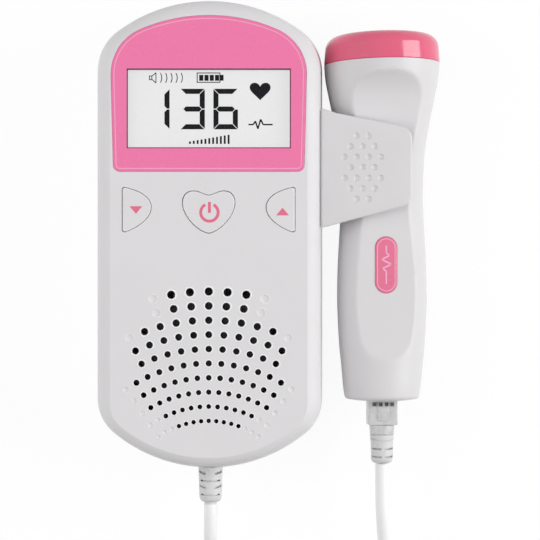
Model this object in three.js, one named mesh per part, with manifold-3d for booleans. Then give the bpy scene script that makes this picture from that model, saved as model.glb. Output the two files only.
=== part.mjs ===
// A handheld fetal heart-sound monitor lying on its back: the main unit with its display, buttons and
// speaker, the ultrasound probe held in a clip on its right side, and the lead between the two.
// Millimetres, +Z up from the surface it lies on, +Y towards the display end.
import * as THREE from "three";
import { mergeVertices } from "three/addons/utils/BufferGeometryUtils.js";
import Module from "manifold-3d";

const wasm = await Module();
wasm.setup();

// Fits
const clearance = 0.3; // between pieces that slide, press or meet face to face
const seat_gap = 0.1; // film of glue or air between fixed flat pieces
const overrun = 3; // how far a cutting tool runs past what it cuts
const round_segments = 12; // sides of small round pieces
const weld_distance = 1e-4; // corners nearer than this are one

// Main case
const case_width = 65;
const case_length = 135;
const case_depth = 33.5;
const wall = 2.2;
const split_height = 17;
const top_arc_radius = 44.7;
const top_corner_radius = 15;
const bottom_arc_radius = 43.5;
const bottom_corner_radius = 13;
const rim_side = 4.2; // the rounded rim, seen from the front, on each side
const rim_top = 5.1;
const rim_bottom = 3.8;
const rim_depth = 4.2;
const rim_end_angle = Math.PI / 3; // the rim's arc stops short of level, which leaves a crease
const rim_steps = 4;
const back_edge_radius = 5;
const back_edge_steps = 3;
const arc_steps = 8;
const corner_steps = 5;

// Display
const bezel_side_margin = 4.7; // from the sides of the case
const bezel_taper = 0.65; // how far each side draws in towards the foot
const bezel_margin = 5.6; // from the top of the case
const bezel_foot_share = 0.13; // height of its foot over the middle of the case, of the case's length
const bezel_arc_radius = 50;
const bezel_shoulder_radius = 14;
const bezel_foot_radius = 2;
const bezel_thickness = 1.1;
const view_side_margin = 4.5; // from the sides of the bezel
const view_margin = 15.1; // from the top of the bezel
const view_foot_margin = 6.65; // from its foot
const lens_overlap = 1.2; // how far the lens runs under the bezel
const lcd_side_frame = 2.2; // how far the glass runs past the view on each side
const lcd_top_frame = 3.2;
const lcd_foot_frame = 5.2; // over the connector
const lcd_thickness = 2.2;
const backlight_thickness = 2.4;
const connector_inset = 1.5; // from the sides of the glass
const connector_depth = 2;

// Main board
const board_side_margin = 8; // from the sides of the case
const board_thickness = 1.6;
const board_foot_drop = 17; // below the row of buttons
const board_head_margin = 1.5; // past the glass
const board_screw_inset = 3; // from the sides of the board
const board_screw_rise = 3.4; // lower screws, from the foot of the board
const board_screw_drop = 2.7; // upper screws, below the foot of the glass
const board_post_radius = 2;

// Buttons
const button_travel = 0.6;
const button_gap = 0.25; // the groove round each button
const button_proud = 0.2;
const flange_thickness = 0.8;
const flange_lip = 0.8;
const button_drop = 11.5; // from the foot of the bezel to the row's middle line
const power_width = 15.1;
const power_height = 12.25;
const side_button_width = 8.4;
const side_button_height = 12.8;
const side_button_rise = 0.7; // its middle over the row's middle line
const side_button_margin = 7.9; // from the side of the case to its straight side
const switch_size = 6;
const switch_height = 3;
const plunger_radius = 1.7;
const plunger_depth = 1.6; // depth of the bore that the plunger slides in

// Speaker and its grille
const speaker_drop_share = 0.262; // below the middle of the case, of the case's length
const speaker_radius = 18;
const speaker_depth = 10.5;
const speaker_flange = 1.2;
const basket_wall = 0.8;
const magnet_radius = 11;
const magnet_thickness = 5;
const cloth_thickness = 0.5;
const fence_wall = 1.4;
const fence_height = 2.8;
const grille_drop = 10.4; // the holes lie on arcs round a point this far below the case
const grille_first_radius = 24.7;
const grille_row_pitch = 4.08;
const grille_step_angle = THREE.MathUtils.degToRad(5);
const grille_first_hole = 1.2;
const grille_hole_growth = 0.11;
const grille_hole_counts = [9, 11, 13, 13, 13, 11, 11, 9, 5, 5];
const dimple_steps = [[5, 6, 7], [6, 7], [7], [7], [7], [], [], [5], [3], [3]];
const dimple_depth = 0.6;
const hole_sides = 6;

// Batteries and their cover
const cell_radius = 7.1;
const cell_length = 49;
const cell_nub_radius = 2.7;
const cell_nub_height = 1.2;
const cell_spacing = 14.9;
const bay_width = 31;
const bay_end_room = 2.4; // for the contacts and springs at each end
const bay_head_margin = 15.5; // from the top of the case
const bay_wall = 1.7;
const bay_room = 0.6; // over the cells
const cover_thickness = 2;
const cover_tongue = 1.2;
const cover_tongue_thickness = 0.9;
const cover_overlap = 2; // how far the cover runs past the bay at its foot
const contact_thickness = 0.5;

// Case screws
// From the side, and from the top or foot of the case
const upper_screw_margins = [11.5, 11];
const lower_screw_margins = [8, 19.5];
const boss_radius = 3.4;
const screw_head_radius = 2.6;
const screw_head_height = 1.8;
const screw_shank_radius = 1.25;
const screw_seat = 8; // height of the face under the head
const screw_length = 16;
const pilot_room = 1; // of a pilot hole past its screw

// Small screws
const small_head_radius = 1.9;
const small_head_height = 1.3;
const small_shank_radius = 0.9;
const small_shank_length = 5;

// Clip for the probe
const clip_root_height = 33.5;
const clip_root_foot = 1.5;
const clip_past_axis = 8.1; // how far the jaw reaches past the probe's axis
const clip_tip_height = 21.8;
const clip_tip_foot = 8.4;
const clip_corner_radius = 4;
const clip_plate = 2.2;
const clip_edge_round = 0.5;
const clip_front_room = 2.5; // from the probe's scooped face to the front jaw
const clip_rib_depth = 1.8;
const clip_back_shares = [0.075, 0.55]; // of the root's height
const clip_rib_shares = [0.224, 0.313];
const clip_screw_shares = [0.224, 0.761];
const clip_screw_rise = 2.6; // over the split of the case
const clip_dimple_rows = [2, 3, 4, 3, 4, 3, 2];
const clip_dimple_pitch = 3.5;
const clip_dimple_row_pitch = 3;
const clip_dimple_radius = 0.7;
const clip_dimple_depth = 0.5;
const clip_dimple_shares = [0.455, 0.522]; // middle of the field, of the reach and the root's height

// Probe
const probe_gap = 0.5; // from the side of the case to the head
const probe_lift = 0.2; // of the head over the surface
const probe_roll = THREE.MathUtils.degToRad(5.5);
const head_radius = 16.8;
const probe_length = 98;
const probe_head_place = 49.4; // where the shells meet the cap
const probe_wall = 1.8;
const probe_seam = 0.2;
const probe_sides = 24;
const cap_height = 8.7;
const cap_wall = 1.6;
const cap_spigot_length = 3;
// Stations from the tail to the head: place along the length, half width, depth of the section and
// height of the scooped front face, as shares of the length, the head radius, the half width and
// the head radius.
const probe_shares = [
  [0, 0.46, 0.95, 0.7],
  [0.02, 0.62, 0.94, 0.7],
  [0.065, 0.673, 0.93, 0.7],
  [0.124, 0.716, 0.92, 0.66],
  [0.213, 0.76, 0.92, 0.57],
  [0.301, 0.777, 0.92, 0.536],
  [0.39, 0.768, 0.91, 0.536],
  [0.479, 0.742, 0.9, 0.536],
  [0.568, 0.713, 0.9, 0.536],
  [0.656, 0.716, 0.9, 0.53],
  [0.745, 0.75, 0.92, 0.545],
  [0.834, 0.838, 0.94, 0.605],
  [0.893, 0.905, 0.96, 0.665],
  [0.93, 0.95, 0.98, 0.75],
  [0.957, 0.978, 0.99, 0.88],
  [0.975, 0.988, 1, 1.1],
  [1, 1, 1, 1.1],
];
const badge_width = 6.6;
const badge_length = 16.4;
const badge_thickness = 0.8;
const badge_sunk = 0.5;
const badge_share = 0.405; // places along the probe, from its tail
const probe_screw_shares = [0.19, 0.863];
const probe_boss_radius = 2.7;
const probe_screw_seat = -4.5;
const probe_board_width = 14;
const probe_board_thickness = 1.2;
const probe_board_shares = [0.236, 0.822];
const probe_board_drop = 0.5; // below the probe's middle plane
const probe_rib_shares = [0.312, 0.537, 0.741];
const probe_rib_width = 10;
const crystal_inset = 1.3; // from the edge of the backing
const crystal_thickness = 1.2;
const crystal_slit = 0.6;
const backing_gap = 0.7; // to the wall of the cap
const backing_thickness = 4;

// Socket and plug
const plug_width = 8.3;
const plug_height = 6.7;
const plug_inserted = 10;
const plug_shown = 6.6;
const socket_wall = 1.5;
const socket_length = 11;
const socket_setback = 3.9; // from the end of the shells
const latch_width = 3.2;
const latch_thickness = 0.8;
const contact_count = 4;
const contact_pitch = 1.1;
const contact_width = 0.5;
const contact_span = [0.9, 2.9]; // below the end of the shells
const plug_collar_radius = 3.45;
const plug_collar_length = 4.4;
const plug_boot_radius = 3.2;
const plug_boot_length = 6.5;

// Lead
const cord_diameter = 3.8;
const cord_sides = 8;
const relief_radius = 3.55;
const relief_end_radius = 3.2;
const relief_length = 10.4;
const relief_neck_radius = 2.7;
const relief_flange_radius = 4.5;
const relief_flange = 1.2;
const relief_groove = 0.5;
const relief_grooves = 4;
const coil_radius = 28; // of the outer turn's middle line
const coil_pitch = 4.35;
const coil_turns = 7.5;
const coil_loop_steps = 24;
const coil_sides = 6;
const coil_place = -121;
const tie_width = 7;
const tie_thickness = 0.6;
// Middle line of the two free stretches, chosen by hand in the object's own frame.
const main_stretch_points = [
  [-17.1, -78.25, 17],
  [-17.1, -82, 17],
  [-17.2, -88, 15.9],
  [-17.7, -95, 12.2],
  [-18.6, -102, 7.7],
  [-19.6, -109, 4],
  [-20.1, -113, 2.9],
  [-20.15, -116.9, 2.8],
];
const probe_stretch_points = [
  [35.85, -116.9, 7.15],
  [35.8, -113, 7.2],
  [35.4, -106, 8.7],
  [34.5, -98, 11.8],
  [33.6, -90, 14.9],
  [33, -82, 16.7],
  [32.75, -75, 17],
  [32.75, -66.5, 17],
];

// Heights and places that follow from the sizes above
const ceiling = case_depth - wall;
const bezel_floor = case_depth - bezel_thickness - seat_gap;
const lcd_top = ceiling - seat_gap;
const backlight_top = lcd_top - lcd_thickness - seat_gap;
const board_top = backlight_top - backlight_thickness - seat_gap;
const board_bottom = board_top - board_thickness;
const switch_top = board_top + seat_gap + switch_height;
const flange_top = ceiling - seat_gap;
const flange_bottom = flange_top - flange_thickness;
const bezel_top = case_length / 2 - bezel_margin;
const bezel_foot = case_length * bezel_foot_share;
const bezel_width = case_width - 2 * bezel_side_margin;
const view_width = bezel_width - 2 * view_side_margin;
const view_top = bezel_top - view_margin;
const view_height = view_top - bezel_foot - view_foot_margin;
const view_middle = view_top - view_height / 2;
const lcd_width = view_width + 2 * lcd_side_frame;
const lcd_foot = view_top - view_height - lcd_foot_frame;
const lcd_head = view_top + lcd_top_frame;
const button_row = bezel_foot - button_drop;
const side_button_reach = case_width / 2 - side_button_margin;
const board_width = case_width - 2 * board_side_margin;
const board_foot = button_row - board_foot_drop;
const board_head = lcd_head + board_head_margin;
const speaker_place = -case_length * speaker_drop_share;
const grille_centre = -case_length / 2 - grille_drop;
const bay_length = cell_length + cell_nub_height + 2 * bay_end_room;
const bay_head = case_length / 2 - bay_head_margin;
const bay_foot = bay_head - bay_length;
const cell_height = cover_thickness + clearance + seat_gap + cell_radius;
const bay_ceiling = cell_height + cell_radius + bay_room;
const cover_foot = bay_foot - cover_overlap;
const probe_spacing = case_width / 2 + probe_gap + head_radius; // from the middle of the case
const probe_height = probe_lift + head_radius;
const unit_place = -(probe_spacing + head_radius - case_width / 2) / 2;
const probe_tail = probe_head_place - probe_length;
const alongProbe = (share) => probe_tail + probe_length * share;
const scoop_floor = head_radius * 0.536;
const waist_depth = head_radius * 0.668; // of the probe, from its axis to its back, in the clip
const badge_place = alongProbe(badge_share);
const probe_screw_places = probe_screw_shares.map(alongProbe);
const cap_spigot_radius = head_radius - probe_wall - 3 * clearance;
const backing_radius = cap_spigot_radius - cap_wall - backing_gap;
const crystal_radius = backing_radius - crystal_inset;
const alongClip = (share) => clip_root_foot + clip_root_height * share;
const clip_face = case_width / 2 + seat_gap;
const clip_inner = clip_face + clip_plate;
const clip_reach = probe_spacing + clip_past_axis - clip_face;
const clip_front_height = probe_height + scoop_floor + clip_front_room; // underside of the front jaw
const clip_rib_height = clip_front_height - clip_rib_depth;
const clip_back_height = probe_height - waist_depth - clearance; // top of the back jaw
const clip_screw_places = clip_screw_shares.map(alongClip);
const clip_screw_height = split_height + clip_screw_rise;
const coil_inner_radius = coil_radius - (coil_pitch * coil_turns) / 2;
const coil_middle = unit_place + probe_spacing / 2;
const cord_radius = cord_diameter / 2;
const coil_low = tie_thickness + clearance + cord_radius;
const coil_high = coil_low + coil_pitch;

// Materials
const finish = (color, roughness, metalness = 0) =>
  new THREE.MeshStandardMaterial({ color, roughness, metalness });
const white_plastic = finish(0xe9e7e9, 0.4);
const pink_plastic = finish(0xee7fae, 0.35);
const pink_rubber = finish(0xe4708f, 0.3);
const clear_plastic = finish(0xf4f6f8, 0.1);
const lcd_glass = finish(0xdfe0e0, 0.2);
const grey_rubber = finish(0x55565a, 0.8);
const board_green = finish(0x2f7d4f, 0.5);
const black_plastic = finish(0x26272a, 0.5);
const steel = finish(0xb9bcc0, 0.35, 1);
const brass = finish(0xc9a759, 0.35, 1);
const magnet_grey = finish(0x6d6f73, 0.5, 0.6);
const paper = finish(0xd6cfc0, 0.9);
const cell_jacket = finish(0x4a5b78, 0.4);
const ceramic = finish(0xe8e2d4, 0.5);
const white_rubber = finish(0xf0f0f0, 0.55);

// Solids and joins
function solidOf(geometry) {
  const bare = geometry.index ? geometry.toNonIndexed() : geometry.clone();
  const plain = new THREE.BufferGeometry().setAttribute("position", bare.getAttribute("position"));
  const merged = mergeVertices(plain, weld_distance);
  const vertProperties = merged.attributes.position.array;
  const triVerts = new Uint32Array(merged.index.array);
  return new wasm.Manifold(new wasm.Mesh({ numProp: 3, vertProperties, triVerts }));
}

function geometryOf(solid) {
  const mesh = solid.getMesh();
  const position = new Float32Array(mesh.numVert * 3);
  for (let i = 0; i < mesh.numVert; i += 1) {
    position.set(mesh.vertProperties.subarray(i * mesh.numProp, i * mesh.numProp + 3), i * 3);
  }
  const geometry = new THREE.BufferGeometry();
  geometry.setAttribute("position", new THREE.BufferAttribute(position, 3));
  geometry.setIndex(new THREE.BufferAttribute(new Uint32Array(mesh.triVerts), 1));
  const flat = geometry.toNonIndexed();
  flat.computeVertexNormals();
  return flat;
}

const joined = (first, ...others) => others.reduce((all, next) => all.add(solidOf(next)), first);
const cutAway = (first, ...tools) => tools.reduce((left, tool) => left.subtract(solidOf(tool)), first);

// A closed skin through rings of points, each ring with as many points as the next.
function loft(rings) {
  const sides = rings[0].length;
  const position = rings.flat().flatMap((point) => point.toArray());
  const index = [];
  for (let ring = 0; ring + 1 < rings.length; ring += 1) {
    for (let side = 0; side < sides; side += 1) {
      const a = ring * sides + side;
      const b = ring * sides + ((side + 1) % sides);
      index.push(a, b, b + sides, a, b + sides, a + sides);
    }
  }
  const last = (rings.length - 1) * sides;
  for (let side = 1; side + 1 < sides; side += 1) {
    index.push(0, side + 1, side);
    index.push(last, last + side, last + side + 1);
  }
  const geometry = new THREE.BufferGeometry();
  geometry.setAttribute("position", new THREE.Float32BufferAttribute(position, 3));
  geometry.setIndex(index);
  return geometry;
}

function box(x, y, z) {
  const geometry = new THREE.BoxGeometry(x[1] - x[0], y[1] - y[0], z[1] - z[0]);
  return geometry.translate((x[0] + x[1]) / 2, (y[0] + y[1]) / 2, (z[0] + z[1]) / 2);
}

const middleBox = (width, y, z) => box([-width / 2, width / 2], y, z);

function slab(shape, low, high, curveSegments = 6) {
  const geometry = new THREE.ExtrudeGeometry(shape, {
    depth: high - low,
    bevelEnabled: false,
    curveSegments,
  });
  return geometry.translate(0, 0, low);
}

// A round post standing on +Z.
function post(x, y, radius, low, high, sides = round_segments) {
  const geometry = new THREE.CylinderGeometry(radius, radius, high - low, sides);
  return geometry.rotateX(Math.PI / 2).translate(x, y, (low + high) / 2);
}

// A turned piece on +Z, from its profile of [radius, height] points.
function turned(profile, sides = round_segments) {
  const points = profile.map(([radius, height]) => new THREE.Vector2(radius, height));
  return new THREE.LatheGeometry(points, sides).rotateX(Math.PI / 2);
}

const alongY = (geometry) => geometry.rotateX(-Math.PI / 2);

function arc(centre_x, centre_y, radius, from, to, steps) {
  return Array.from({ length: steps }, (_, step) => {
    const angle = from + ((to - from) * step) / steps;
    return new THREE.Vector2(
      centre_x + radius * Math.cos(angle),
      centre_y + radius * Math.sin(angle),
    );
  });
}

// The outline of the case, drawn in by three amounts, as one ring of arcs that meet smoothly.
function caseOutline(side = 0, top = 0, bottom = 0) {
  const half = case_width / 2 - side;
  const upper_big = top_arc_radius - top;
  const upper_small = top_corner_radius - (side + top) / 2;
  const lower_big = bottom_arc_radius - bottom;
  const lower_small = bottom_corner_radius - (side + bottom) / 2;
  const upper_x = half - upper_small;
  const upper_rise = Math.sqrt((upper_big - upper_small) ** 2 - upper_x ** 2);
  const upper_centre = case_length / 2 - top - upper_big;
  const lower_x = half - lower_small;
  const lower_rise = Math.sqrt((lower_big - lower_small) ** 2 - lower_x ** 2);
  const lower_centre = -case_length / 2 + bottom + lower_big;
  const up = Math.PI / 2;
  const upper_turn = Math.atan2(upper_x, upper_rise);
  const lower_turn = Math.atan2(lower_x, lower_rise);
  const upper_y = upper_centre + upper_rise;
  const lower_y = lower_centre - lower_rise;
  return [
    ...arc(upper_x, upper_y, upper_small, 0, up - upper_turn, corner_steps),
    ...arc(0, upper_centre, upper_big, up - upper_turn, up + upper_turn, arc_steps),
    ...arc(-upper_x, upper_y, upper_small, up + upper_turn, 2 * up, corner_steps),
    new THREE.Vector2(-half, upper_y),
    ...arc(-lower_x, lower_y, lower_small, 2 * up, 3 * up - lower_turn, corner_steps),
    ...arc(0, lower_centre, lower_big, 3 * up - lower_turn, 3 * up + lower_turn, arc_steps),
    ...arc(lower_x, lower_y, lower_small, 3 * up + lower_turn, 4 * up, corner_steps),
    new THREE.Vector2(half, lower_y),
  ];
}

const ringAt = (outline, height) => outline.map((point) => new THREE.Vector3(point.x, point.y, height));
const caseRing = (inset, height) => ringAt(caseOutline(inset, inset, inset), height);

function frontOuter() {
  const rings = [caseRing(0, split_height + clearance / 2)];
  for (let step = 0; step <= rim_steps; step += 1) {
    const angle = (rim_end_angle * step) / rim_steps;
    const share = (1 - Math.cos(angle)) / (1 - Math.cos(rim_end_angle));
    const rise = Math.sin(angle) / Math.sin(rim_end_angle);
    const outline = caseOutline(rim_side * share, rim_top * share, rim_bottom * share);
    rings.push(ringAt(outline, case_depth - rim_depth + rim_depth * rise));
  }
  return solidOf(loft(rings));
}

function frontInner() {
  return loft([
    caseRing(wall, split_height - overrun),
    caseRing(wall, ceiling - rim_depth),
    caseRing(wall + rim_side / 4, ceiling - rim_depth / 3),
    caseRing(wall + rim_side, ceiling),
  ]);
}

function backOuter() {
  const rings = [];
  for (let step = 0; step <= back_edge_steps; step += 1) {
    const angle = (Math.PI / 2) * (step / back_edge_steps);
    const inset = back_edge_radius * (1 - Math.sin(angle));
    rings.push(caseRing(inset, back_edge_radius * (1 - Math.cos(angle))));
  }
  rings.push(caseRing(0, split_height - clearance / 2));
  return solidOf(loft(rings));
}

function backInner() {
  return loft([
    caseRing(wall + back_edge_radius * 0.75, wall),
    caseRing(wall + back_edge_radius / 4, wall + back_edge_radius / 3),
    caseRing(wall, wall + back_edge_radius),
    caseRing(wall, split_height + overrun),
  ]);
}

// Outlines
function bezelShape(grow = 0) {
  const half = bezel_width / 2 + grow;
  const foot_half = half - bezel_taper;
  const big = bezel_arc_radius + grow;
  const small = bezel_shoulder_radius + grow;
  const top = bezel_top + grow;
  const foot = bezel_foot - grow;
  const corner = bezel_foot_radius + grow;
  const shoulder_x = half - small;
  const rise = Math.sqrt((big - small) ** 2 - shoulder_x ** 2);
  const centre = top - big;
  const turn = Math.atan2(shoulder_x, rise);
  const up = Math.PI / 2;
  return new THREE.Shape([
    ...arc(shoulder_x, centre + rise, small, 0, up - turn, corner_steps),
    ...arc(0, centre, big, up - turn, up + turn, arc_steps),
    ...arc(-shoulder_x, centre + rise, small, up + turn, 2 * up, corner_steps),
    new THREE.Vector2(-half, centre + rise),
    ...arc(-foot_half + corner, foot + corner, corner, 2 * up, 3 * up, 3),
    new THREE.Vector2(-foot_half + corner, foot),
    ...arc(foot_half - corner, foot + corner, corner, 3 * up, 4 * up, 3),
    new THREE.Vector2(foot_half, foot + corner),
  ]);
}

function rectangle(width, height, middle_y) {
  return new THREE.Shape([
    new THREE.Vector2(-width / 2, middle_y - height / 2),
    new THREE.Vector2(width / 2, middle_y - height / 2),
    new THREE.Vector2(width / 2, middle_y + height / 2),
    new THREE.Vector2(-width / 2, middle_y + height / 2),
  ]);
}

// The heart of the power button: notch, lobe, flank and tip as shares of its half width and height.
function heartShape(grow = 0) {
  const half = power_width / 2 + grow;
  const tall = power_height / 2 + grow;
  const at = (x_share, y_share) => [x_share * half, button_row + y_share * tall];
  const shape = new THREE.Shape();
  shape.moveTo(...at(0, 0.8));
  shape.bezierCurveTo(...at(-0.2, 0.82), ...at(-0.35, 1), ...at(-0.58, 1));
  shape.bezierCurveTo(...at(-0.86, 1), ...at(-1, 0.76), ...at(-1, 0.42));
  shape.bezierCurveTo(...at(-1, -0.1), ...at(-0.5, -0.88), ...at(0, -1));
  shape.bezierCurveTo(...at(0.5, -0.88), ...at(1, -0.1), ...at(1, 0.42));
  shape.bezierCurveTo(...at(1, 0.76), ...at(0.86, 1), ...at(0.58, 1));
  shape.bezierCurveTo(...at(0.35, 1), ...at(0.2, 0.82), ...at(0, 0.8));
  return shape;
}

// A side button: one straight side, two small corners and a full curve towards the heart.
function sideButtonShape(side, grow = 0) {
  const outer = side_button_reach + grow;
  const inner = side_button_reach - side_button_width - grow;
  const tall = side_button_height / 2 + grow;
  const middle = button_row + side_button_rise;
  const at = (x_share, y_share) => [
    side * (outer + (inner - outer) * x_share),
    middle + y_share * tall,
  ];
  const shape = new THREE.Shape();
  shape.moveTo(...at(0, 0.92));
  shape.quadraticCurveTo(...at(0, 1), ...at(0.09, 1));
  shape.bezierCurveTo(...at(0.55, 0.88), ...at(1, 0.6), ...at(1, 0.1));
  shape.bezierCurveTo(...at(1, -0.4), ...at(0.5, -0.82), ...at(0.12, -1));
  shape.quadraticCurveTo(...at(0, -1), ...at(0, -0.92));
  return shape;
}

const buttonShapes = {
  down: (grow) => sideButtonShape(-1, grow),
  power: (grow) => heartShape(grow),
  up: (grow) => sideButtonShape(1, grow),
};
const side_switch_place = side_button_reach - side_button_width / 2;
const switch_places = { down: -side_switch_place, power: 0, up: side_switch_place };

// Main case pieces
function grilleTools() {
  const tools = [];
  grille_hole_counts.forEach((count, row) => {
    const radius = grille_first_radius + grille_row_pitch * row;
    const hole = (grille_first_hole + grille_hole_growth * row) / 2;
    const steps = Array.from({ length: count }, (_, i) => i - (count - 1) / 2);
    const place = (step, low) => {
      const angle = step * grille_step_angle;
      const x = radius * Math.sin(angle);
      const y = grille_centre + radius * Math.cos(angle);
      return post(x, y, hole, low, case_depth + overrun, hole_sides);
    };
    steps.forEach((step) => tools.push(place(step, ceiling - overrun)));
    dimple_steps[row].forEach((step) => {
      tools.push(place(step, case_depth - dimple_depth));
      tools.push(place(-step, case_depth - dimple_depth));
    });
  });
  return tools;
}

const mirroredPlaces = (places) => places.flatMap(([x, y]) => [[-x, y], [x, y]]);
const board_post_x = board_width / 2 - board_screw_inset;
const board_posts = mirroredPlaces([
  [board_post_x, lcd_foot - board_screw_drop],
  [board_post_x, board_foot + board_screw_rise],
]);
const case_bosses = mirroredPlaces([
  [case_width / 2 - upper_screw_margins[0], case_length / 2 - upper_screw_margins[1]],
  [case_width / 2 - lower_screw_margins[0], lower_screw_margins[1] - case_length / 2],
]);

function reliefHole() {
  const long = wall + 2 * overrun;
  const tool = new THREE.CylinderGeometry(
    relief_neck_radius + clearance,
    relief_neck_radius + clearance,
    long,
    round_segments,
  );
  return tool.translate(0, -case_length / 2 + wall / 2, split_height);
}

function clipScrewHole(place) {
  const radius = small_shank_radius + clearance;
  const tool = new THREE.CylinderGeometry(radius, radius, wall + 2 * overrun, round_segments);
  return tool.rotateZ(Math.PI / 2).translate(case_width / 2 - wall / 2, place, clip_screw_height);
}

function frontCase() {
  const outer = frontOuter();
  const low = split_height + clearance / 2;
  const fence_shape = new THREE.Shape().absarc(
    0, speaker_place, speaker_radius + clearance + fence_wall, 0, 2 * Math.PI,
  );
  fence_shape.holes.push(
    new THREE.Path().absarc(0, speaker_place, speaker_radius + clearance, 0, 2 * Math.PI, true),
  );
  let shell = cutAway(outer, frontInner());
  shell = joined(
    shell,
    slab(fence_shape, ceiling - fence_height, ceiling + wall / 2, round_segments),
    ...case_bosses.map(([x, y]) => post(x, y, boss_radius, low, ceiling + wall / 2)),
    ...board_posts.map(([x, y]) =>
      post(x, y, board_post_radius, board_top + seat_gap, ceiling + wall / 2),
    ),
  ).intersect(outer);
  const lens_width = view_width + 2 * (lens_overlap + seat_gap);
  const lens_height = view_height + 2 * (lens_overlap + seat_gap);
  return cutAway(
    shell,
    slab(bezelShape(seat_gap), bezel_floor, case_depth + overrun),
    slab(rectangle(lens_width, lens_height, view_middle), ceiling - overrun, case_depth + overrun),
    ...Object.values(buttonShapes).map((shape) =>
      slab(shape(button_gap), ceiling - overrun, case_depth + overrun, 4),
    ),
    ...grilleTools(),
    ...case_bosses.map(([x, y]) =>
      post(x, y, screw_shank_radius + seat_gap, low - overrun, screw_seat + screw_length + pilot_room),
    ),
    ...board_posts.map(([x, y]) =>
      post(x, y, small_shank_radius + seat_gap, board_top - overrun, ceiling - wall / 4),
    ),
    ...clip_screw_places.map(clipScrewHole),
    reliefHole(),
  );
}

// Slot for the battery cover, open towards the top end of the case.
function coverSlot() {
  const end = case_length / 2 + overrun;
  const foot = cover_foot - clearance;
  const tongue_low = cover_thickness - cover_tongue_thickness - clearance;
  const high = cover_thickness + clearance;
  return [
    middleBox(bay_width, [foot, end], [-overrun, high]),
    middleBox(bay_width + 2 * cover_tongue + 2 * clearance, [foot, end], [tongue_low, high]),
  ];
}

function rearCase() {
  const outer = backOuter();
  const slot_width = bay_width + 2 * cover_tongue + 2 * clearance;
  const top = split_height - clearance / 2;
  const bay_outer = bay_width + 2 * bay_wall;
  const roof = bay_ceiling + bay_wall;
  const foot = cover_foot - clearance - bay_wall;
  const shell = joined(
    cutAway(outer, backInner()),
    middleBox(slot_width + 2 * bay_wall, [foot, case_length / 2 - wall / 2], [wall / 2, 2 * wall]),
    ...case_bosses.map(([x, y]) => post(x, y, boss_radius, wall / 2, top)),
  ).intersect(outer);
  const with_bay = joined(
    shell,
    middleBox(bay_outer, [foot, bay_head + bay_wall], [wall, roof]),
  );
  return cutAway(
    with_bay,
    middleBox(bay_width, [bay_foot, bay_head], [-overrun, bay_ceiling]),
    ...coverSlot(),
    ...case_bosses.map(([x, y]) => post(x, y, screw_head_radius + clearance, -overrun, screw_seat)),
    ...case_bosses.map(([x, y]) =>
      post(x, y, screw_shank_radius + clearance, -overrun, split_height + overrun),
    ),
    reliefHole(),
  );
}

function batteryCover() {
  const end = case_length / 2 + overrun;
  const width = bay_width - 2 * clearance;
  const grip = cover_thickness / 4;
  const grip_pitch = cover_thickness;
  const plate = joined(
    solidOf(middleBox(width, [cover_foot, end], [0, cover_thickness])),
    middleBox(
      width + 2 * cover_tongue,
      [cover_foot, bay_head],
      [cover_thickness - cover_tongue_thickness, cover_thickness],
    ),
  ).intersect(backOuter());
  const grooves = Array.from({ length: 5 }, (_, i) => {
    const y = cover_foot + 3 * cover_thickness + i * grip_pitch;
    return middleBox(width / 2, [y, y + grip_pitch / 2], [-overrun, grip]);
  });
  return cutAway(plate, ...grooves);
}

// Display pieces
function displayBezel() {
  const shape = bezelShape();
  shape.holes.push(rectangle(view_width, view_height, view_middle));
  return slab(shape, case_depth - bezel_thickness, case_depth);
}

function lcdWindow() {
  const width = view_width + 2 * lens_overlap;
  const height = view_height + 2 * lens_overlap;
  return slab(rectangle(width, height, view_middle), ceiling, bezel_floor);
}

const connector_band = connector_depth + 2 * clearance;

function lcdPanel() {
  const plate = rectangle(lcd_width, lcd_head - lcd_foot, (lcd_head + lcd_foot) / 2);
  return slab(plate, lcd_top - lcd_thickness, lcd_top);
}

function lcdBacklight() {
  const height = lcd_head - lcd_foot - connector_band;
  const middle = lcd_foot + connector_band + height / 2;
  const plate = rectangle(lcd_width, height, middle);
  return slab(plate, backlight_top - backlight_thickness, backlight_top);
}

function lcdConnector() {
  const middle = lcd_foot + clearance + connector_depth / 2;
  return slab(
    rectangle(lcd_width - 2 * connector_inset, connector_depth, middle),
    board_top + seat_gap,
    lcd_top - lcd_thickness - seat_gap,
  );
}

function mainBoard() {
  const height = board_head - board_foot;
  const plate = slab(
    rectangle(board_width, height, (board_head + board_foot) / 2),
    board_bottom,
    board_top,
  );
  return cutAway(
    solidOf(plate),
    ...board_posts.map(([x, y]) =>
      post(x, y, small_shank_radius + clearance, board_bottom - overrun, board_top + overrun),
    ),
  );
}

// Buttons and their switches
function buttonCap(shape) {
  const cap = solidOf(slab(shape(0), flange_bottom, case_depth + button_proud, 4));
  return joined(cap, slab(shape(flange_lip), flange_bottom, flange_top, 4));
}

const plunger_floor = switch_top - plunger_depth;

function switchBody(x) {
  const half = switch_size / 2;
  const low = board_top + seat_gap;
  const body = box(
    [x - half, x + half],
    [button_row - half, button_row + half],
    [low, switch_top],
  );
  const bore = post(x, button_row, plunger_radius + clearance, plunger_floor, switch_top + overrun);
  return cutAway(solidOf(body), bore);
}

function switchPlunger(x) {
  const low = plunger_floor + button_travel + clearance;
  return post(x, button_row, plunger_radius, low, flange_bottom - seat_gap);
}

// Speaker
const cloth_top = ceiling - 2 * seat_gap;
const speaker_top = cloth_top - cloth_thickness - seat_gap;
const speaker_bottom = speaker_top - speaker_depth;

function speakerCloth() {
  const low = cloth_top - cloth_thickness;
  return post(0, speaker_place, speaker_radius, low, cloth_top, 2 * round_segments);
}

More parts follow.
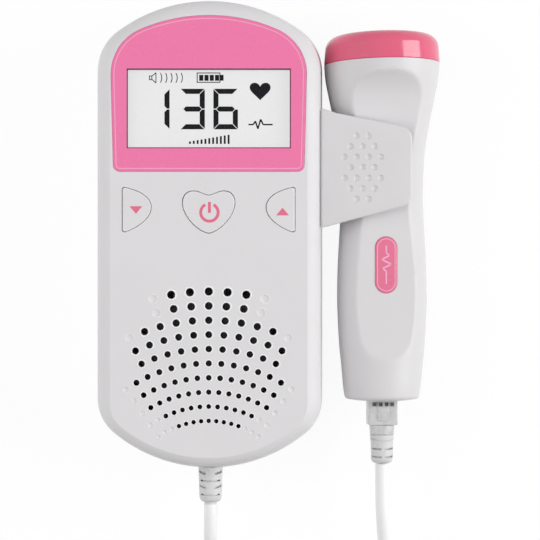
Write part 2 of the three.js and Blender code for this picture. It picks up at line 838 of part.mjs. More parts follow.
function speakerBasket() {
  const lip = speaker_radius - 2 * speaker_flange;
  const profile = [
    [0, speaker_bottom],
    [magnet_radius, speaker_bottom],
    [lip, speaker_top - speaker_flange],
    [speaker_radius, speaker_top - speaker_flange],
    [speaker_radius, speaker_top],
    [lip, speaker_top],
    [magnet_radius - basket_wall, speaker_bottom + basket_wall],
    [0, speaker_bottom + basket_wall],
  ];
  return turned(profile, 2 * round_segments).translate(0, speaker_place, 0);
}

function speakerCone() {
  const outer = speaker_radius - 2 * speaker_flange - 2 * basket_wall;
  const throat = magnet_radius / 2;
  const low = speaker_bottom + speaker_depth / 2;
  const high = speaker_top - clearance;
  const profile = [
    [0, low],
    [throat, low - basket_wall],
    [outer, high - basket_wall],
    [outer, high],
    [throat, low],
    [0, low + basket_wall],
  ];
  return turned(profile, 2 * round_segments).translate(0, speaker_place, 0);
}

function speakerMagnet() {
  const top = speaker_bottom - seat_gap;
  const low = top - magnet_thickness;
  return post(0, speaker_place, magnet_radius, low, top, 2 * round_segments);
}

// Batteries and contacts
const bay_middle = bay_foot + bay_length / 2;
const cell_shift = (bay_length - cell_length - cell_nub_height) / 4;

function batteryCell(side) {
  const half = cell_length / 2;
  const profile = [
    [0, -half],
    [cell_radius, -half],
    [cell_radius, half],
    [cell_nub_radius, half],
    [cell_nub_radius, half + cell_nub_height],
    [0, half + cell_nub_height],
  ];
  const cell = alongY(turned(profile, 2 * round_segments));
  if (side < 0) cell.rotateZ(Math.PI);
  const shift = side * cell_shift;
  return cell.translate((side * cell_spacing) / 2, bay_middle + shift, cell_height);
}

// Flat contact with a stub of spring towards the cell's flat end.
function batteryContact(side, end) {
  const x = (side * cell_spacing) / 2;
  const half = cell_radius - clearance;
  const face = end > 0 ? bay_head - seat_gap : bay_foot + seat_gap;
  const plate_y = [face, face - end * contact_thickness].sort((a, b) => a - b);
  const plate = box([x - half, x + half], plate_y, [cell_height - half, cell_height + half]);
  const cell_middle = bay_middle + side * cell_shift;
  const flat_end = cell_middle - side * (cell_length / 2);
  const nub_end = cell_middle + side * (cell_length / 2 + cell_nub_height);
  const target = (end === side ? nub_end : flat_end) + end * seat_gap;
  const reach = Math.abs(plate_y[end > 0 ? 0 : 1] - target);
  const stub = new THREE.CylinderGeometry(
    cell_nub_radius,
    cell_nub_radius * 1.5,
    reach + contact_thickness / 2,
    round_segments,
  );
  if (end > 0) stub.rotateX(Math.PI);
  const stub_middle = target + (end * (reach + contact_thickness / 2)) / 2;
  return joined(solidOf(plate), stub.translate(x, stub_middle, cell_height));
}

// Screws
function screw(head_width, head_height, shank_radius, shank_length) {
  return turned([
    [0, -head_height],
    [head_width * 0.7, -head_height],
    [head_width, -head_height * 0.6],
    [head_width, 0],
    [shank_radius, 0],
    [shank_radius, shank_length - shank_radius],
    [0, shank_length],
  ]);
}

// The heads that show at the back have a cross cut in them.
function crossCut(body, head_width, head_height) {
  const slot = head_width * 0.5;
  const bar = head_width * 0.14;
  const depth = [-head_height - overrun, -head_height * 0.5];
  const cross_x = box([-slot, slot], [-bar, bar], depth);
  const cross_y = box([-bar, bar], [-slot, slot], depth);
  return geometryOf(cutAway(solidOf(body), cross_x, cross_y));
}

const caseScrew = () =>
  crossCut(
    screw(screw_head_radius, screw_head_height, screw_shank_radius, screw_length),
    screw_head_radius,
    screw_head_height,
  );
const smallScrew = (length) =>
  screw(small_head_radius, small_head_height, small_shank_radius, length);
const probeScrew = () =>
  crossCut(smallScrew(small_shank_length), small_head_radius, small_head_height);

// Clip for the probe, fixed to the right wall of the case
function clipOutline() {
  const tip = clip_face + clip_reach;
  const foot_rise = (clip_tip_foot - clip_root_foot) / clip_reach;
  const tip_head = clip_tip_foot + clip_tip_height;
  const head_drop = (clip_root_foot + clip_root_height - tip_head) / clip_reach;
  const r = clip_corner_radius;
  const shape = new THREE.Shape();
  shape.moveTo(clip_face, clip_root_foot);
  shape.lineTo(tip - r, clip_tip_foot - foot_rise * r);
  shape.quadraticCurveTo(tip, clip_tip_foot, tip, clip_tip_foot + r);
  shape.lineTo(tip, tip_head - r);
  shape.quadraticCurveTo(tip, tip_head, tip - r, tip_head + head_drop * r);
  shape.lineTo(clip_face, clip_root_foot + clip_root_height);
  return shape;
}

function clipDimples() {
  const top = clip_front_height + clip_plate;
  const rows = clip_dimple_rows.length;
  const middle_x = clip_face + clip_reach * clip_dimple_shares[0];
  const middle_y = alongClip(clip_dimple_shares[1]);
  return clip_dimple_rows.flatMap((count, row) =>
    Array.from({ length: count }, (_, i) =>
      post(
        middle_x + (i - (count - 1) / 2) * clip_dimple_pitch,
        middle_y + ((rows - 1) / 2 - row) * clip_dimple_row_pitch,
        clip_dimple_radius,
        top - clip_dimple_depth,
        top + overrun,
        hole_sides,
      ),
    ),
  );
}

function holster() {
  const tip = clip_face + clip_reach - clip_corner_radius / 4;
  const front = new THREE.ExtrudeGeometry(clipOutline(), {
    depth: clip_plate - clip_edge_round,
    bevelThickness: clip_edge_round,
    bevelSize: clip_edge_round,
    bevelOffset: -clip_edge_round,
    bevelSegments: 1,
    curveSegments: 4,
  }).translate(0, 0, clip_front_height);
  const front_low = clip_front_height;
  const front_high = clip_front_height + clip_plate;
  const back_low = clip_back_height - clip_plate;
  const root_y = [clip_root_foot, clip_root_foot + clip_root_height];
  const trimmed = solidOf(front).intersect(
    solidOf(box([clip_face, tip + overrun], [root_y[0] - overrun, root_y[1] + overrun],
      [front_low, front_high])),
  );
  const body = joined(
    trimmed,
    box([clip_face, clip_inner], root_y, [back_low, front_high]),
    box([clip_face, tip], clip_back_shares.map(alongClip), [back_low, clip_back_height]),
    box([clip_face, tip - clip_corner_radius], clip_rib_shares.map(alongClip),
      [clip_rib_height, clip_front_height + clip_plate / 2]),
  );
  const pilots = clip_screw_places.map((place) => {
    const radius = small_shank_radius + seat_gap;
    const long = 2 * clip_plate;
    return new THREE.CylinderGeometry(radius, radius, long, round_segments)
      .rotateZ(Math.PI / 2)
      .translate(clip_face, place, clip_screw_height);
  });
  return cutAway(body, ...clipDimples(), ...pilots);
}

function clipScrew(place) {
  const length = wall + clip_plate * 0.75;
  return smallScrew(length)
    .rotateY(Math.PI / 2)
    .translate(case_width / 2 - wall - seat_gap, place, clip_screw_height);
}

// Probe, along its own Y axis
function probeRings(inset, tail_inset = 0) {
  return probe_shares.map(([along, width, depth, scoop]) => {
    const half_width = head_radius * width - inset;
    const half_depth = head_radius * width * depth - inset;
    const flat = head_radius * scoop - inset;
    const y = probe_tail + tail_inset + (probe_length - tail_inset) * along;
    return Array.from({ length: probe_sides }, (_, side) => {
      const angle = (2 * Math.PI * side) / probe_sides;
      return new THREE.Vector3(
        half_width * Math.sin(angle),
        y,
        Math.min(half_depth * Math.cos(angle), flat),
      );
    });
  });
}

function probeShell(front) {
  const outer = solidOf(loft(probeRings(0)));
  const inner_rings = probeRings(probe_wall, probe_wall);
  const mouth = inner_rings.at(-1).map((point) => point.clone().setY(point.y + overrun));
  const inner = loft([...inner_rings, mouth]);
  const high = [probe_seam / 2, 2 * head_radius];
  const low = [-2 * head_radius, -probe_seam / 2];
  const half = front ? high : low;
  const along = [probe_tail - overrun, probe_head_place + overrun];
  const bosses = probe_screw_places.map((y) => post(0, y, probe_boss_radius, ...half));
  const rib_top = -probe_board_drop - probe_board_thickness - seat_gap;
  const ribs = probe_rib_shares.map((share) =>
    middleBox(
      probe_rib_width,
      [alongProbe(share), alongProbe(share) + probe_wall],
      [low[0], rib_top],
    ),
  );
  const shell = joined(cutAway(outer, inner), ...bosses, ...(front ? [] : ribs))
    .intersect(outer)
    .intersect(solidOf(middleBox(3 * head_radius, along, half)));
  const plug_gap = 2 * clearance;
  const socket_mouth = box(
    [-(plug_width + plug_gap) / 2, (plug_width + plug_gap) / 2],
    [probe_tail - overrun, probe_tail + probe_wall + overrun],
    [-(plug_height + plug_gap) / 2, (plug_height + plug_gap) / 2 + latch_thickness],
  );
  const screw_tools = probe_screw_places.flatMap((y) =>
    front
      ? [post(0, y, small_shank_radius + seat_gap, -overrun, probe_screw_tip + pilot_room)]
      : [
          post(0, y, small_shank_radius + clearance, low[0], overrun),
          post(0, y, small_head_radius + clearance, low[0], probe_screw_seat),
        ],
  );
  const tools = [socket_mouth, socketBlock(clearance), ...screw_tools];
  if (front) tools.push(slab(badgeShape(clearance / 2), badge_floor - seat_gap, 2 * head_radius));
  return cutAway(shell, ...tools);
}

const probe_screw_tip = probe_screw_seat + small_shank_length;
const badge_floor = scoop_floor - badge_sunk;

function badgeShape(grow = 0) {
  const radius = badge_width / 2 + grow;
  const run = (badge_length - badge_width) / 2;
  const shape = new THREE.Shape();
  shape.absarc(0, badge_place + run, radius, 0, Math.PI);
  shape.absarc(0, badge_place - run, radius, Math.PI, 2 * Math.PI);
  return shape;
}

function probeCap() {
  const rim = head_radius;
  const spigot = cap_spigot_radius;
  const top = cap_height;
  const profile = [
    [0, top],
    [rim * 0.62, top * 0.985],
    [rim * 0.84, top * 0.93],
    [rim * 0.935, top * 0.78],
    [rim * 0.975, top * 0.5],
    [rim * 0.995, top * 0.2],
    [rim, clearance / 2],
    [spigot, clearance / 2],
    [spigot, -cap_spigot_length],
    [spigot - cap_wall, -cap_spigot_length],
    [spigot - cap_wall, top * 0.62],
    [crystal_radius + crystal_slit + clearance, top - cap_wall],
    [0, top - cap_wall],
  ].reverse();
  return alongY(turned(profile, 2 * round_segments)).translate(0, probe_head_place, 0);
}

const crystal_top = probe_head_place + cap_height - cap_wall - seat_gap;
const backing_top = crystal_top - crystal_thickness - seat_gap;

// One of the two half-round crystals, one sending and one listening.
function crystal(side) {
  const start = side > 0 ? -Math.PI / 2 : Math.PI / 2;
  const shape = new THREE.Shape().absarc(0, 0, crystal_radius, start, start + Math.PI);
  const disc = slab(shape, crystal_top - crystal_thickness, crystal_top, 8);
  return alongY(disc.translate((side * crystal_slit) / 2, 0, 0));
}

function transducerBacking() {
  const low = backing_top - backing_thickness;
  const geometry = new THREE.CylinderGeometry(
    backing_radius, backing_radius, backing_thickness, 2 * round_segments,
  );
  return geometry.translate(0, (low + backing_top) / 2, 0);
}

function probeBoard() {
  const top = -probe_board_drop;
  const along = probe_board_shares.map(alongProbe);
  return middleBox(probe_board_width, along, [top - probe_board_thickness, top]);
}

const socket_hole_width = plug_width + 2 * clearance;
const socket_hole_low = -plug_height / 2 - clearance;
const socket_hole_high = -socket_hole_low + latch_thickness;
const socket_mouth_place = probe_tail + socket_setback;

// The block of the socket, grown on all sides for the pocket in the shells.
function socketBlock(grow = 0) {
  return middleBox(
    socket_hole_width + 2 * (socket_wall + grow),
    [socket_mouth_place - grow, socket_mouth_place + socket_length + grow],
    [socket_hole_low - socket_wall - grow, socket_hole_high + socket_wall / 2 + grow],
  );
}

function probeSocket() {
  const along = [socket_mouth_place - overrun, socket_mouth_place + socket_length - socket_wall];
  const hole = middleBox(socket_hole_width, along, [socket_hole_low, socket_hole_high]);
  return cutAway(solidOf(socketBlock()), hole);
}

// Clear modular plug with its latch, and the white moulding behind it
const plug_end = probe_tail - plug_shown;

function plugBody() {
  const body = middleBox(plug_width, [plug_end, probe_tail + plug_inserted],
    [-plug_height / 2, plug_height / 2]);
  const latch = middleBox(latch_width, [probe_tail - plug_shown * 0.8, probe_tail + plug_inserted],
    [plug_height / 2 - latch_thickness, plug_height / 2 + latch_thickness * 0.8]);
  const window = middleBox(contact_width + 2 * clearance + contact_pitch * (contact_count - 1),
    contactRun(clearance), [contact_floor, plug_height]);
  return cutAway(joined(solidOf(body), latch), window);
}

const contact_floor = plug_height / 2 - latch_thickness - 2 * contact_width;

function contactPlaces() {
  return Array.from({ length: contact_count }, (_, i) => (i - (contact_count - 1) / 2) * contact_pitch);
}

function contactRun(grow = 0) {
  return [probe_tail - contact_span[1] - grow, probe_tail - contact_span[0] + grow];
}

// A comb of blades in the plug's window, one for each wire, on one strip.
function plugContacts() {
  const low = contact_floor + seat_gap;
  const half = contact_width / 2;
  const span = contact_pitch * (contact_count - 1) + contact_width;
  const strip = middleBox(span, contactRun(), [low, low + contact_width]);
  return joined(
    solidOf(strip),
    ...contactPlaces().map((x) => box([x - half, x + half], contactRun(), [low, plug_height / 2])),
  );
}

function plugBoot() {
  const ribs = 3;
  const rib_pitch = plug_boot_length / ribs;
  const start = plug_collar_length;
  const groove_radius = plug_boot_radius - relief_groove;
  const profile = [
    [0, 0],
    [plug_collar_radius, 0],
    [plug_collar_radius, start],
  ];
  for (let rib = 0; rib < ribs; rib += 1) {
    const y = start + rib * rib_pitch;
    profile.push([groove_radius, y], [groove_radius, y + rib_pitch * 0.3]);
    profile.push([plug_boot_radius, y + rib_pitch * 0.3], [plug_boot_radius, y + rib_pitch]);
  }
  profile.push([0, start + plug_boot_length]);
  const boot = alongY(turned(profile)).rotateZ(Math.PI);
  return boot.translate(0, plug_end - seat_gap, 0);
}

// Strain relief at the foot of the case
function cordRelief() {
  const inside = wall + 2 * clearance;
  const profile = [
    [0, -inside - relief_flange],
    [relief_flange_radius, -inside - relief_flange],
    [relief_flange_radius, -inside],
    [relief_neck_radius, -inside],
    [relief_neck_radius, clearance],
    [relief_radius, clearance],
  ];
  const pitch = (relief_length - clearance) / (relief_grooves + 1);
  for (let groove = 1; groove <= relief_grooves; groove += 1) {
    const y = clearance + groove * pitch;
    const share = groove / (relief_grooves + 1);
    const radius = relief_radius + (relief_end_radius - relief_radius) * share;
    profile.push([radius, y - pitch * 0.25], [radius - relief_groove, y - pitch * 0.25]);
    profile.push([radius - relief_groove, y], [radius, y]);
  }
  profile.push([relief_end_radius, relief_length], [0, relief_length]);
  const relief = alongY(turned(profile)).rotateZ(Math.PI);
  return relief.translate(0, -case_length / 2, split_height);
}

// Lead
function stretch(points) {
  const path = new THREE.CatmullRomCurve3(points.map((point) => new THREE.Vector3(...point)));
  const section = new THREE.Shape(arc(0, 0, cord_radius, 0, 2 * Math.PI, cord_sides));
  const steps = Math.round(path.getLength() / (2 * cord_diameter));
  return new THREE.ExtrudeGeometry(section, { steps, extrudePath: path });
}

// The coil's middle line: in along the bottom layer, up at the innermost turn, out along the top.
function coilLine() {
  const points = [];
  const steps = Math.round(coil_turns * coil_loop_steps);
  const climb = 0.25;
  for (let step = 0; step <= steps; step += 1) {
    const turn = step / coil_loop_steps - coil_turns / 2;
    const radius = coil_inner_radius + coil_pitch * Math.abs(turn);
    const angle = Math.PI + 2 * Math.PI * (turn + coil_turns / 2);
    const share = THREE.MathUtils.smoothstep(turn, -climb, climb);
    points.push(
      new THREE.Vector3(
        coil_middle + radius * Math.cos(angle),
        coil_place + radius * Math.sin(angle),
        coil_low + (coil_high - coil_low) * share,
      ),
    );
  }
  const straight = new THREE.Vector3(0, cord_diameter, 0);
  return [points[0].clone().add(straight), ...points, points.at(-1).clone().add(straight)];
}

function leastGap(points) {
  let least = Infinity;
  const apart = coil_loop_steps / 2;
  points.forEach((point, i) => {
    for (let j = i + apart; j < points.length; j += 1) {
      least = Math.min(least, point.distanceTo(points[j]));
    }
  });
  return least - cord_diameter;
}

function cordCoil() {
  const points = coilLine();
  console.log("least gap of the coil to itself: " + leastGap(points).toFixed(2) + " mm");
  const up = new THREE.Vector3(0, 0, 1);
  const rings = points.map((point, i) => {
    const before = points[Math.max(i - 1, 0)];
    const after = points[Math.min(i + 1, points.length - 1)];
    const along = after.clone().sub(before).normalize();
    const across = along.clone().cross(up).normalize();
    const rise = across.clone().cross(along);
    return Array.from({ length: coil_sides }, (_, side) => {
      const angle = (2 * Math.PI * side) / coil_sides;
      const offset_x = across.clone().multiplyScalar(cord_radius * Math.sin(angle));
      const offset_z = rise.clone().multiplyScalar(cord_radius * Math.cos(angle));
      return point.clone().add(offset_x).add(offset_z);
    });
  });
  return loft(rings);
}

// Flat band round the turns on the coil's far side
function cordTie() {
  const quarter = 0.25;
  const nearest = coil_inner_radius + coil_pitch * quarter - cord_radius;
  const farthest = coil_radius + cord_radius;
  const inner_edge = Math.sqrt(nearest ** 2 - (tie_width / 2) ** 2) - clearance;
  const outer_edge = farthest + clearance;
  const low = tie_thickness;
  const high = coil_high + cord_radius + clearance;
  const y = [coil_place - outer_edge, coil_place - inner_edge];
  const x = [coil_middle - tie_width / 2, coil_middle + tie_width / 2];
  const body = box(
    x,
    [y[0] - tie_thickness, y[1] + tie_thickness],
    [low - tie_thickness, high + tie_thickness],
  );
  return cutAway(solidOf(body), box([x[0] - overrun, x[1] + overrun], y, [low, high]));
}

// Assembly
function piece(name, shape, material) {
  const geometry = shape.isBufferGeometry ? shape : geometryOf(shape);
  const mesh = new THREE.Mesh(geometry, material);
  mesh.name = name;
  return mesh;
}

const monitor = new THREE.Group();
const unit = new THREE.Group();
const probe = new THREE.Group();
monitor.add(unit, probe);
unit.position.x = unit_place;
probe.position.set(unit_place + probe_spacing, 0, probe_height);
probe.rotation.y = probe_roll;

unit.add(
  piece("front_case", frontCase(), white_plastic),
  piece("rear_case", rearCase(), white_plastic),
  piece("battery_cover", batteryCover(), white_plastic),
  piece("display_bezel", displayBezel(), pink_plastic),
  piece("lcd_window", lcdWindow(), clear_plastic),
  piece("lcd_panel", lcdPanel(), lcd_glass),
  piece("lcd_backlight", lcdBacklight(), white_plastic),
  piece("lcd_connector", lcdConnector(), grey_rubber),
  piece("main_board", mainBoard(), board_green),
  piece("speaker_cloth", speakerCloth(), black_plastic),
  piece("speaker_basket", speakerBasket(), steel),
  piece("speaker_cone", speakerCone(), paper),
  piece("speaker_magnet", speakerMagnet(), magnet_grey),
  piece("battery_1", batteryCell(-1), cell_jacket),
  piece("battery_2", batteryCell(1), cell_jacket),
  piece("battery_contact_1", batteryContact(-1, -1), steel),
  piece("battery_contact_2", batteryContact(-1, 1), steel),
  piece("battery_contact_3", batteryContact(1, -1), steel),
  piece("battery_contact_4", batteryContact(1, 1), steel),
  piece("holster", holster(), white_plastic),
  piece("cord_relief", cordRelief(), white_rubber),
);
for (const [name, shape] of Object.entries(buttonShapes)) {
  unit.add(
    piece("button_" + name, buttonCap(shape), white_plastic),
    piece("switch_" + name, switchBody(switch_places[name]), black_plastic),
    piece("plunger_" + name, switchPlunger(switch_places[name]), black_plastic),
  );
}
case_bosses.forEach(([x, y], i) => {
  const mesh = piece("case_screw_" + (i + 1), caseScrew(), steel);
  mesh.position.set(x, y, screw_seat - seat_gap);
  unit.add(mesh);
});
board_posts.forEach(([x, y], i) => {
  const mesh = piece("board_screw_" + (i + 1), smallScrew(small_shank_length), steel);
  mesh.position.set(x, y, board_bottom - seat_gap);
  unit.add(mesh);
});
clip_screw_places.forEach((place, i) => {
  unit.add(piece("holster_screw_" + (i + 1), clipScrew(place), steel));
});

probe.add(
  piece("probe_front_shell", probeShell(true), white_plastic),
  piece("probe_rear_shell", probeShell(false), white_plastic),
  piece("probe_cap", probeCap(), pink_rubber),
  piece("transducer_sender", crystal(-1), ceramic),
  piece("transducer_receiver", crystal(1), ceramic),
  piece("transducer_backing", transducerBacking(), grey_rubber),
  piece("probe_board", probeBoard(), board_green),
  piece("probe_socket", probeSocket(), black_plastic),
  piece("probe_badge", slab(badgeShape(), badge_floor, badge_floor + badge_thickness), pink_plastic),
  piece("plug_body", plugBody(), clear_plastic),
  piece("plug_contacts", plugContacts(), brass),
  piece("plug_boot", plugBoot(), white_rubber),
);
probe_screw_places.forEach((y, i) => {
  const mesh = piece("probe_screw_" + (i + 1), probeScrew(), steel);
  mesh.position.set(0, y, probe_screw_seat - seat_gap);
  probe.add(mesh);
});

monitor.add(
  piece("cord_main_stretch", stretch(main_stretch_points), white_rubber),
  piece("cord_coil", cordCoil(), white_rubber),
  piece("cord_probe_stretch", stretch(probe_stretch_points), white_rubber),
  piece("cord_tie", cordTie(), white_plastic),
);

export default monitor;
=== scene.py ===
# %% [markdown]
# # A fetal heart monitor, lying on its back
# The object is a main unit with a display, three buttons and a speaker grille, a probe held in a
# clip on its right side, and a coiled lead between the two. Its solids were made in a CAD program.
# This notebook loads them as a fixed frame and gives each visible piece its finished surface.

import math
import operator

import bpy
import numpy as np
from mathutils import Matrix, Vector


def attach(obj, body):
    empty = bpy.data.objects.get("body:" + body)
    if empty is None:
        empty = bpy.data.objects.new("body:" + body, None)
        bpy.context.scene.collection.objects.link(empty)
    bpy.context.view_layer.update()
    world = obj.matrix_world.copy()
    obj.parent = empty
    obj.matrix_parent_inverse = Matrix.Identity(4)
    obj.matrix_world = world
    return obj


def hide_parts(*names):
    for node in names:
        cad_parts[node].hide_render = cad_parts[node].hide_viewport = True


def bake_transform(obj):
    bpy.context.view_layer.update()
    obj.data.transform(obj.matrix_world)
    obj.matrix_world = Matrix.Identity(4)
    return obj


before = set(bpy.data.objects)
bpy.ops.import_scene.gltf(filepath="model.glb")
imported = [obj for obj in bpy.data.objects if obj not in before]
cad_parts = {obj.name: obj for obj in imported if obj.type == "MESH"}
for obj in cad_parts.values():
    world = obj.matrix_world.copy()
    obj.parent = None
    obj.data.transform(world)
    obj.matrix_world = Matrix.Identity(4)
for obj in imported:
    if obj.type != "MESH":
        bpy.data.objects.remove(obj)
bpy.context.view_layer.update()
MM = 0.001
print("nodes:", len(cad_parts))

# %% [markdown]
# ## The camera
# The photograph looks straight at the display. The object lies on its back, so the camera hangs
# above it and looks down. A long lens from 0.8 m gives the slight growth of the near faces that the
# photograph shows, which a flat projection would lose.

# %% Camera
CAMERA_PLACE = (0.35, -10.37, 816.0)
camera_data = bpy.data.cameras.new("camera")
camera_data.sensor_width = 36.0
camera_data.lens = 183.9
camera = bpy.data.objects.new("camera", camera_data)
camera.location = [part * MM for part in CAMERA_PLACE]
bpy.context.scene.collection.objects.link(camera)
bpy.context.scene.camera = camera
bpy.context.scene.view_settings.view_transform = "Standard"
print("camera height:", round(camera.location.z, 3), "m")

# %% [markdown]
# ## Making meshes
# Most pieces are either a skin through a row of rings, or a flat outline that is given thickness.
# Both are a few lines of mesh code, and numbers in millimetres read like the ones on a drawing.
# The helper below turns millimetres to metres once, where the mesh is made.


# %% Mesh helpers
def new_piece(name, points, faces):
    mesh = bpy.data.meshes.new(name)
    mesh.from_pydata([[c * MM for c in point] for point in points], [], faces)
    piece = bpy.data.objects.new(name, mesh)
    bpy.context.scene.collection.objects.link(piece)
    return piece


def skin(name, rings, closed=True):
    """A skin through rings that all have the same number of points."""
    sides = len(rings[0])
    last = (len(rings) - 1) * sides
    faces = []
    for row in range(0, last, sides):
        for side in range(sides):
            a, b = row + side, row + (side + 1) % sides
            faces.append((a, b, b + sides, a + sides))
    if closed:
        faces += [tuple(reversed(range(sides))), tuple(range(last, last + sides))]
    return new_piece(name, [point for ring in rings for point in ring], faces)


def at_height(outline, z):
    return [(x, y, z) for x, y in outline]


def layers(outline, *places):
    """The outline at each place, which is how far it is grown and how high it lies."""
    return [at_height(outline(grow), height) for grow, height in places]


def plate(name, outline, low, high):
    return skin(name, [at_height(outline, low), at_height(outline, high)])


def square(x, y):
    return [(x[0], y[0]), (x[1], y[0]), (x[1], y[1]), (x[0], y[1])]


def box_piece(name, x, y, z):
    return plate(name, square(x, y), *z)


def arc(x, y, radius, start, end, steps, ended=False):
    turn = [start + (end - start) * i / steps for i in range(steps + ended)]
    return [(x + radius * math.cos(a), y + radius * math.sin(a)) for a in turn]


def circle(radius, sides, x=0.0, y=0.0):
    return arc(x, y, radius, 0, 2 * math.pi, sides)


def quarter_turn(steps):
    return [math.pi / 2 * step / steps for step in range(steps + 1)]


def round_rings(profile, sides):
    """A ring of points round Z for each [radius, height] pair."""
    return [at_height(circle(radius, sides), height) for radius, height in profile]


def turned(name, profile, sides):
    """A round piece on Z, from [radius, height] pairs that start and end on the axis."""
    return skin(name, round_rings(profile[1:-1], sides))


def placed(piece, matrix):
    """Puts a place into the mesh, so that the object itself stays at the origin."""
    piece.data.transform(matrix)
    if matrix.determinant() < 0:
        piece.data.flip_normals()
    return piece


def shift(x, y, z):
    return Matrix.Translation((x * MM, y * MM, z * MM))


print("mesh helpers are ready")

# %% Modifiers
ROUNDED_FROM = math.radians(40)


def finished(piece):
    """The piece's mesh with its modifiers worked in."""
    bpy.context.view_layer.update()
    graph = bpy.context.evaluated_depsgraph_get()
    made = bpy.data.meshes.new_from_object(piece.evaluated_get(graph))
    old = piece.data
    piece.modifiers.clear()
    piece.data = made
    bpy.data.meshes.remove(old)
    made.name = piece.name
    return piece


def modified(piece, kind, **settings):
    modifier = piece.modifiers.new(kind, kind)
    for name, value in settings.items():
        setattr(modifier, name, value)
    return finished(piece)


def combine(piece, operation, *others):
    for other in others:
        modified(piece, "BOOLEAN", operation=operation, solver="MANIFOLD", object=other)
        bpy.data.objects.remove(other)
    return piece


def carve(piece, *tools):
    return combine(piece, "DIFFERENCE", *tools)


def join(piece, *others):
    return combine(piece, "UNION", *others)


def rounded(piece, width, segments=3):
    return modified(piece, "BEVEL", width=width * MM, segments=segments, limit_method="ANGLE",
                    angle_limit=ROUNDED_FROM)


def smooth(piece, angle=30):
    piece.data.shade_smooth()
    piece.data.set_sharp_from_angle(angle=math.radians(angle))
    return piece


def flatten_shading(piece):
    """Lets the large flat faces keep their own direction where small faces meet them."""
    return modified(piece, "WEIGHTED_NORMAL", weight=90, keep_sharp=True)


print("modifier helpers are ready")

# %% [markdown]
# ## The lead
# The real lead is one soft white cable, about a metre long. The photograph shows only its first
# centimetres at both ends, so the rest lies in a neat coil with a band, just out of view. A tube
# swept along one list of points is the simplest way, and it keeps the length exact.

# %% The lead's route
CORD_RADIUS = 1.9
COIL_MIDDLE = (7.85, -121.0)
COIL_TURNS = 7.5
COIL_PITCH = 4.35
COIL_INNER = 28.0 - COIL_PITCH * COIL_TURNS / 2
COIL_LOW = 2.8
main_stretch = [
    (-16.85, -78.25, 17), (-16.85, -82, 17), (-17.0, -88, 15.9), (-17.6, -95, 12.2),
    (-18.6, -102, 7.7), (-19.6, -109, 4), (-20.1, -113, 2.9), (-20.15, -116.9, 2.8),
]
probe_stretch = [
    (35.85, -116.9, 7.15), (35.8, -113, 7.2), (35.4, -106, 8.7), (34.5, -98, 11.8),
    (33.6, -90, 14.9), (33, -82, 16.7), (32.75, -75, 17), (32.75, -66.5, 17),
]


def on_curve(a, b, leave, arrive, t):
    """The place at t on the curve from a to b that leaves and arrives in the given directions."""
    return (a * (2 * t**3 - 3 * t**2 + 1) + leave * (t**3 - 2 * t**2 + t)
            + b * (3 * t**2 - 2 * t**3) + arrive * (t**3 - t**2))


def through(points, between=6):
    """A smooth line through all the points."""
    knots = [Vector(p) for p in points]
    last = len(knots) - 1
    line = []
    for i in range(last):
        a, b = knots[i], knots[i + 1]
        leave, arrive = (b - knots[max(i - 1, 0)]) / 2, (knots[min(i + 2, last)] - a) / 2
        line += [on_curve(a, b, leave, arrive, step / between) for step in range(between)]
    return line + [knots[-1]]


def coil_line(steps_per_turn=48):
    line = []
    for step in range(1, int(COIL_TURNS * steps_per_turn)):
        turn = step / steps_per_turn - COIL_TURNS / 2
        radius = COIL_INNER + COIL_PITCH * abs(turn)
        angle = math.pi + 2 * math.pi * (turn + COIL_TURNS / 2)
        climb = min(max((turn + 0.25) / 0.5, 0), 1)
        height = COIL_LOW + COIL_PITCH * climb * climb * (3 - 2 * climb)
        x = COIL_MIDDLE[0] + radius * math.cos(angle)
        y = COIL_MIDDLE[1] + radius * math.sin(angle)
        line.append(Vector((x, y, height)))
    return line


route = through(main_stretch) + coil_line() + through(probe_stretch)


# %% The lead's tube
def tube(name, line, radius, sides=16):
    rings = []
    up = Vector((0, 0, 1))
    for i, point in enumerate(line):
        along = (line[min(i + 1, len(line) - 1)] - line[max(i - 1, 0)]).normalized()
        across = along.cross(up).normalized()
        rise = across.cross(along)
        turn = [2 * math.pi * side / sides for side in range(sides)]
        rings.append([point + across * radius * math.cos(a) + rise * radius * math.sin(a) for a in turn])
    return smooth(skin(name, rings))


lead = tube("lead", route, CORD_RADIUS)
print("lead faces:", len(lead.data.polygons))

# %% [markdown]
# ## The outline of the case
# Seen from the front the case is a long rounded form: two straight sides, a broad curve at each end
# and a smaller curve at each corner. Arcs that meet without a kink give it, and one function draws
# it in by any amount, so the same line serves the walls, the rim and the face.

# %% Case outline
UNIT_X = -17.05
CASE_WIDTH = 65.0
CASE_LENGTH = 135.0
CASE_DEPTH = 33.5
SPLIT = 17.0
WALL = 2.2
RIM_SIDE, RIM_TOP, RIM_BOTTOM, RIM_DEPTH = 4.5, 5.1, 3.8, 4.2
HALF_GAP, BACK_RADIUS = 0.15, 5.0


def crown(half, broad, small, end, start=0.0, steps=18):
    """An end of an outline: a broad arc between two small ones. A start of pi makes the lower end."""
    sign = -1 if start else 1
    x = half - small
    rise = math.sqrt((broad - small) ** 2 - x**2)
    turn = math.atan2(x, rise)
    middle = end - sign * broad
    y, up = middle + sign * rise, start + math.pi / 2
    ring = arc(sign * x, y, small, start, up - turn, steps)
    ring += arc(0, middle, broad, up - turn, up + turn, 2 * steps)
    return ring + arc(-sign * x, y, small, up + turn, start + math.pi, steps, True)


def case_outline(side=0.0, top=0.0, bottom=0.0):
    half = CASE_WIDTH / 2 - side
    ring = crown(half, 44.7 - top, 15 - (side + top) / 2, CASE_LENGTH / 2 - top)
    ring += crown(half, 43.5 - bottom, 13 - (side + bottom) / 2, -CASE_LENGTH / 2 + bottom, math.pi)
    return [(x + UNIT_X, y) for x, y in ring]


def case_rings(*places):
    return layers(lambda inset: case_outline(inset, inset, inset), *places)


